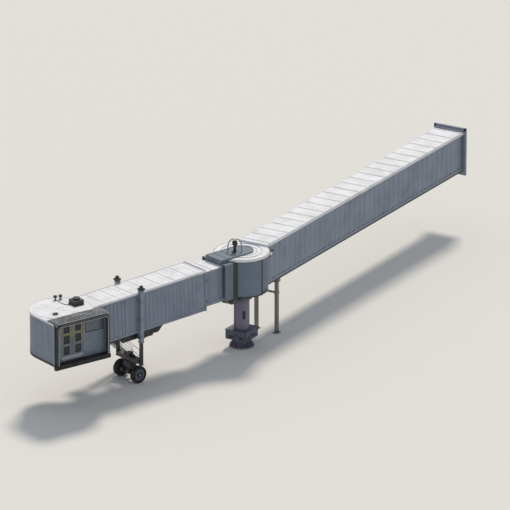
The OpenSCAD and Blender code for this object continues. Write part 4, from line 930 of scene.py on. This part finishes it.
makePiece("doorGaskets", onCab, bumperRubber, [
    *[(paneBead, *about(doors["y0"] + (leaf + 0.5) * doors["leaf"], doors["paneHalf"][0]),
       *about(doors["firstPane"] + row * doors["paneEvery"], doors["paneHalf"][1]))
      for leaf in (0, 1) for row in range(3)],
    (paneBead, doorEnd + 0.07, doors["windowY"], *doors["windowZ"]),
])


def leafHardware(bm, handleY, hingeY):
    low, high = doors["handle"]
    addRod(bm, (1.105, handleY, low), (1.105, handleY, high), 0.010)
    for z in (low + 0.02, high - 0.02):
        addRod(bm, (1.078, handleY, z), (1.105, handleY, z), 0.008, 10)
    for z in doors["hinges"]:
        addRod(bm, (1.082, hingeY, z - 0.04), (1.082, hingeY, z + 0.04), 0.009, 10)


meeting = doors["y0"] + doors["leaf"]
makePiece("doorHardware", onCab, zincSteel, [
    (leafHardware, meeting - 0.045, doors["y0"] + 0.012),
    (leafHardware, meeting + 0.045, doorEnd - 0.016),
    (addBox, 1.079, 1.083, doors["y0"] + 0.03, doorEnd - 0.04, 0.03, 0.16),  # kick plate
], smooth=True)
y0, y1 = doors["y0"] - 0.03, doorEnd + 0.02
makePiece("doorFrame", onCab, trimPaint, [
    (addBox, 1.079, 1.088, y0, y0 + 0.028, 0.0, 1.31),
    (addBox, 1.079, 1.088, y1 - 0.018, y1, 0.0, 1.31),
    (addBox, 1.079, 1.088, y0, y1, 1.27, 1.31),
], bevel=0.001)
makePiece("frontFrameStrips", onCab, trimPaint, [  # pale edges on the dark front frame
    (bothBoxes, 1.09, 1.14, 1.061, 1.066, -0.10, 1.38),
    (bothBoxes, 1.139, 1.15, 0.95, 0.974, 0.02, 1.30),
    (addBox, 1.139, 1.15, -0.95, 0.95, 1.28, 1.304),
], bevel=0.001)
bumper = {"pads": 14, "first": -1.04, "every": 0.16, "padHalf": 0.045}
makePiece("bumperPads", onCab, bumperRubber, [
    *[(addBox, 1.285, 1.302, *about(bumper["first"] + i * bumper["every"], bumper["padHalf"]),
       -0.165, -0.035) for i in range(bumper["pads"])],
    (bothBoxes, 1.15, 1.286, 1.080, 1.088, -0.175, -0.03),
], bevel=0.006)

# Canopy: one pleated sheet runs up one side of the front opening, over it and down the other side.
canopy = {"x0": 1.142, "x1": 1.308, "pleats": 5, "perPleat": 8, "half": 0.975, "corner": 0.09,
          "bottom": -0.02, "top": 1.34, "fold": 0.072, "sag": 0.022, "tuck": 0.012, "cornerLoss": 0.23,
          "thickness": 0.003}
# Its upper folds are laid back in soft rolls on the cab's roof, between pale hoops.
pack = {"x": 0.70, "depth": 0.56, "half": 1.04, "rolls": 6, "perRoll": 8, "rows": 48, "roof": 1.405,
        "hoops": 7, "hoop": 0.012, "hoopY": 1.045, "rail": 0.010, "lip": 0.011}


def canopyPath():
    # outline of the opening in Y and Z, with an outward direction at each point
    r, y, top, bottom = canopy["corner"], canopy["half"], canopy["top"] - 0.04, canopy["bottom"]
    side = [((-y, bottom + (top - r - bottom) * k / 14), (-1, 0)) for k in range(15)]
    bend = [((-y + r - r * math.cos(a), top - r + r * math.sin(a)), (-math.cos(a), math.sin(a)))
            for a in (math.pi / 2 * k / 6 for k in range(1, 6))]
    over = [((-y + r + (2 * y - 2 * r) * k / 26, top), (0, 1)) for k in range(27)]
    return side + bend + over + [((-p[0], p[1]), (-d[0], d[1])) for p, d in reversed(side + bend)]


# Joins rows of points into a sheet, with the cloth's own flat map for its weave.
def skinSheet(bm, rows, flat, corners):
    layer = bm.loops.layers.uv.new("sheet")
    rows = [[bm.verts.new(p) for p in row] for row in rows]
    for i in range(len(rows) - 1):
        for k in range(len(rows[0]) - 1):
            spots = [(i + a, k + b) for a, b in corners]
            face = bm.faces.new([rows[a][b] for a, b in spots])
            for loop, (a, b) in zip(face.loops, spots):
                loop[layer].uv = flat(a, b)


def bellowsSheet(bm):
    columns = canopy["pleats"] * canopy["perPleat"]
    depth = canopy["x1"] - canopy["x0"]
    rows, lengths = [], []
    travelled = 0.0
    previous = None
    for (y, z), (dy, dz) in canopyPath():
        if previous:
            travelled += math.hypot(y - previous[0], z - previous[1])
        previous = (y, z)
        row = []
        for k in range(columns + 1):
            t = k / columns
            fold = 0.5 - 0.5 * math.cos(2 * math.pi * canopy["pleats"] * t)
            sag = 0.35 * noise.noise(Vector((t * 5, travelled * 2.2, 1.7)))
            reach = canopy["tuck"] + (canopy["fold"] + canopy["sag"] * sag) * fold
            ripple = 0.004 * noise.noise(Vector((t * 9, travelled * 5, 9.1))) * (0 < k < columns)
            row.append((canopy["x0"] + depth * t + ripple, y + dy * reach, z + dz * reach))
        rows.append(row)
        lengths.append(travelled)
    skinSheet(bm, rows, lambda i, k: (lengths[i], k / columns * 0.9), ((0, 0), (1, 0), (1, 1), (0, 1)))


def packSheet(bm):
    columns = pack["rolls"] * pack["perRoll"]
    rows = []
    for j in range(pack["rows"] + 1):
        y = -pack["half"] + 2 * pack["half"] * j / pack["rows"]
        edge = 0.35 + 0.65 * min(1.0, (pack["half"] - abs(y)) / 0.09)
        row = []
        for k in range(columns + 1):
            t = k / columns
            x = pack["x"] + pack["depth"] * t
            bulge = abs(math.sin(math.pi * pack["rolls"] * t))
            slump = 0.5 + 0.5 * noise.noise(Vector((x * 6, y * 3.0, 4.4)))
            arch = max(0.0, math.sin(math.pi * t)) ** 0.6
            height = 0.032 * arch + 0.034 * bulge * (0.75 + 0.35 * slump) + 0.010 * t
            row.append((x, y, pack["roof"] + height * edge))
        rows.append(row)
    skinSheet(bm, rows, lambda j, k: (j * 2 * pack["half"] / pack["rows"], k * 0.02),
              ((0, 0), (0, 1), (1, 1), (1, 0)))


def clothPiece(name, build, fabric):
    bm = bmesh.new()
    build(bm)
    piece = meshObject(name, bm, cab, fabric)
    piece.data.shade_smooth()
    area = sum(p.area for p in piece.data.polygons)
    solid = piece.modifiers.new("cloth", "SOLIDIFY")
    solid.thickness = canopy["thickness"]
    solid.offset = -1.0
    piece.data = plainMesh(piece)
    piece.modifiers.clear()
    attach(piece, "cab")
    return piece, area


bellows, bellowsArea = clothPiece("canopyBellows", bellowsSheet, canopyFabric)
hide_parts("cab_canopy")
topFolds, topArea = clothPiece("canopyTopFolds", packSheet, canopyTopLitAndDustyFabric)


# One pale hoop stands on the roof's sides and crosses between two folds.
def canopyHoop(bm, share):
    x = pack["x"] + pack["depth"] * share
    z = 1.402 + 0.030 * math.sin(math.pi * share)
    leg = [(pack["hoopY"], 1.34), (pack["hoopY"], z - 0.01), (1.03, z + 0.006)]
    addPipe(bm, [(x, -y, h) for y, h in leg] + [(x, -1.0 + 2.0 * i / 10, z + 0.014) for i in range(11)]
            + [(x, y, h) for y, h in reversed(leg)], pack["hoop"], 8)


lip = [(canopy["x1"] - 0.002, p[0] + d[0] * 0.012, p[1] + d[1] * 0.012) for p, d in canopyPath()]
hoops = makePiece("canopyHoops", onCab, hoopAlloy, [
    *[(canopyHoop, k / (pack["hoops"] - 1)) for k in range(pack["hoops"])],
    (bothRods, (0.70, pack["hoopY"], 1.355), (1.27, pack["hoopY"], 1.36), pack["rail"], 8),
    (addPipe, lip, pack["lip"], 8),
], smooth=True)
makePiece("canopyMountBoards", onCab, machineEnamel, [
    (addBox, 1.14, 1.16, -1.05, 1.05, 1.31, 1.43),
    (bothBoxes, 1.14, 1.156, 0.995, 1.05, -0.02, 1.31),
], bevel=0.003)
print("cab and canopy made")

# Cab roof: a tray under the air unit, its feet, two lamp stands, a junction box and a cable between them.
fittings = {"roof": 1.402, "lamps": ((-0.72, 0.48), (-0.76, 0.30)), "unitX": -0.048, "cable": 0.010}
z, unitX = fittings["roof"], fittings["unitX"]
makePiece("roofFittings", onCab, machineEnamel, [
    (addBox, -0.25, 0.155, 0.45, 0.85, z, z + 0.012),
    *[(addRod, (x, 0.65, z + 0.168), (x, 0.65, z + 0.19), 0.016) for x in about(unitX, 0.13)],
    *[(addRod, (x, y, z), (x, y, z + 0.012), 0.05, 20) for x, y in fittings["lamps"]],
    *[(addRod, (x - 0.01, y - 0.05, z + 0.125), (x - 0.014, y - 0.062, z + 0.125), 0.045, 20)
      for x, y in fittings["lamps"]],
    (addBox, 0.30, 0.42, -0.55, -0.40, z, z + 0.05),
    (addPipe, [(unitX, 0.46, z + 0.03), (-0.2, 0.3, z + 0.008), (-0.45, 0.28, z + 0.008),
               (-0.70, 0.32, z + 0.008)], fittings["cable"], 8),
], bevel=0.002)
makePiece("cabCurtainRails", onTunnelEnd, machineEnamel, [
    (addArcBar, 0.977, 0.990, z0, z1, 214.6, 312.6) for z0, z1 in ((0.012, 0.06), (1.27, 1.318))
])

# Slat curtains: each runs between two bodies, round its circle from a start to an end angle.
slat = {"depth": 0.006, "thickness": 0.004, "steps": 4}
curtains = {
    "rotundaSlatsLeft": {"bodies": ("base", "swing_frame"), "matrix": home, "radius": 0.866, "slats": 42,
                         "angles": (37.0, layout["heading"] - 42.0), "z": (2.112, 3.322)},
    "rotundaSlatsRight": {"bodies": ("base", "swing_frame"), "matrix": home, "radius": 0.866, "slats": 60,
                          "angles": (-37.0, layout["heading"] + 42.0 - 360), "z": (2.112, 3.322)},
    "cabSlatsLeft": {"bodies": ("outer_tunnel", "cab"), "matrix": cabLine, "radius": 0.968, "slats": 40,
                     "angles": (146.6, 139.2), "z": (0.014, 1.316)},
}
for name, curtain in curtains.items():
    radius, (start, end), (z0, z1) = curtain["radius"], curtain["angles"], curtain["z"]
    steps = curtain["slats"] * slat["steps"]
    rings = []
    for i in range(steps + 1):
        angle = math.radians(start + (end - start) * i / steps)
        outside = radius + slat["depth"] * abs(math.sin(math.pi * i / slat["steps"]))
        inside = outside - slat["thickness"]
        rings.append([(r * math.cos(angle), r * math.sin(angle), z)
                      for r, z in ((inside, z0), (outside, z0), (outside, z1), (inside, z1))])
    bm = bmesh.new()
    skinRings(bm, rings)
    bmesh.ops.recalc_face_normals(bm, faces=bm.faces)
    piece = meshObject(name, bm, curtain["matrix"], slatPaint)
    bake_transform(piece)

barrel = {"angle": 139.0, "circle": 0.985, "radius": 0.024, "flange": 0.034, "z": (0.004, 1.326)}
(x, y, _), = onCircle(barrel["circle"], 0, [math.radians(barrel["angle"] - layout["cabTurn"])])
z0, z1 = barrel["z"]
makePiece("cabCurtainBarrel", onCab, machineEnamel, [
    (addRod, (x, y, z0), (x, y, z1), barrel["radius"], 20),
    *[(addRod, (x, y, z), (x, y, z + 0.016), barrel["flange"], 20) for z in (z0, z1 - 0.016)],
], smooth=True)
print("curtains made")


# Insides: rubber sheet on the floors, and a board with strip lights under the walkway's roof.
def cabFloorRound(bm):
    bmesh.ops.create_circle(bm, cap_ends=True, radius=0.985, segments=64)
    top = bmesh.ops.extrude_face_region(bm, geom=list(bm.faces))
    topVerts = [g for g in top["geom"] if isinstance(g, bmesh.types.BMVert)]
    bmesh.ops.translate(bm, vec=(0, 0, 0.005), verts=topVerts)


ceiling = {"lights": 11, "firstLight": 1.4, "lightEvery": 1.2, "lightLength": 0.6}
lightXs = [ceiling["firstLight"] + i * ceiling["lightEvery"] for i in range(ceiling["lights"])]
makePiece("walkwayFloorSheet", onBase, floorRubber,
          [(addBox, 0.78, 14.40, -0.466, 0.466, 2.100, 2.106)])
makePiece("walkwayCeiling", onBase, ceilingBoard, [
    (addBox, 0.80, 14.38, -0.45, 0.45, 3.374, 3.389),
    *[(addBox, x, x + ceiling["lightLength"], -0.06, 0.06, 3.362, 3.375) for x in lightXs],
])
makePiece("innerFloorSheet", onInner, floorRubber,
          [(addBox, 0.04, 4.69, -0.41, 0.41, 0.180, 0.186)])
makePiece("cabFloorSheet", onCab, floorRubber,
          [(cabFloorRound,), (addBox, 0.40, 1.035, -0.985, 0.0, 0.0, 0.005)])
print("insides made")

# Stage: a plain pale floor, soft sky light and one soft sun.
stage = {"floor": "#DEDCD7", "half": 400.0, "drop": -0.001, "backdrop": "#E9EAEC", "sky": "#DDE4EE",
         "skyStrength": 0.62, "sun": "#FFF6EA", "sunStrength": 2.3, "sunWidth": 12,
         "sunFrom": (0.75, 0.25, 1.0)}
floorMaterial, _, _ = newMaterial("stageFloor", stage["floor"], 0.9)
floorMesh = bpy.data.meshes.new("stageFloor")
half = stage["half"]
corners = [(-half, -half, 0), (half, -half, 0), (half, half, 0), (-half, half, 0)]
floorMesh.from_pydata(corners, [], [(0, 1, 2, 3)])
floorMesh.materials.append(floorMaterial)
floor = linkObject("stageFloor", floorMesh)
floor.location.z = stage["drop"]

world = bpy.data.worlds.new("studio")
bpy.context.scene.world = world
world.use_nodes = True
sky = world.node_tree
for node in list(sky.nodes):
    sky.nodes.remove(node)
soft = addNode(sky, "ShaderNodeBackground",
               values={"Color": linearColour(stage["sky"]), "Strength": stage["skyStrength"]})
seen = addNode(sky, "ShaderNodeBackground",
               values={"Color": linearColour(stage["backdrop"]), "Strength": 1.0})
path = addNode(sky, "ShaderNodeLightPath")
pick = addNode(sky, "ShaderNodeMixShader", links={
    0: path.outputs["Is Camera Ray"], 1: soft.outputs["Background"], 2: seen.outputs["Background"]})
addNode(sky, "ShaderNodeOutputWorld", links={"Surface": pick.outputs["Shader"]})

sun = bpy.data.lights.new("softSun", "SUN")
sun.energy = stage["sunStrength"]
sun.angle = math.radians(stage["sunWidth"])
sun.color = linearColour(stage["sun"])[:3]
sunLamp = linkObject("softSun", sun)
sunLamp.rotation_euler = Vector(stage["sunFrom"]).normalized().to_track_quat("Z", "Y").to_euler()

view = {"azimuth": -59.3, "elevation": 20.0, "distance": 230.0, "lens": 480.0, "right": 0.45, "up": 3.05}
az, el = math.radians(view["azimuth"]), math.radians(view["elevation"])
back = Vector((math.sin(az) * math.cos(el), -math.cos(az) * math.cos(el), math.sin(el)))
right = Vector((math.cos(az), math.sin(az), 0))
target = right * view["right"] + back.cross(right) * view["up"]
camera = bpy.data.cameras.new("photoView")
camera.lens = view["lens"]
camera.sensor_width = 36.0
camera.clip_end = 2000.0
cameraObject = linkObject("photoView", camera)
cameraObject.location = target + back * view["distance"]
cameraObject.rotation_euler = back.to_track_quat("Z", "Y").to_euler()
bpy.context.scene.camera = cameraObject
bpy.context.scene.view_settings.view_transform = "Standard"
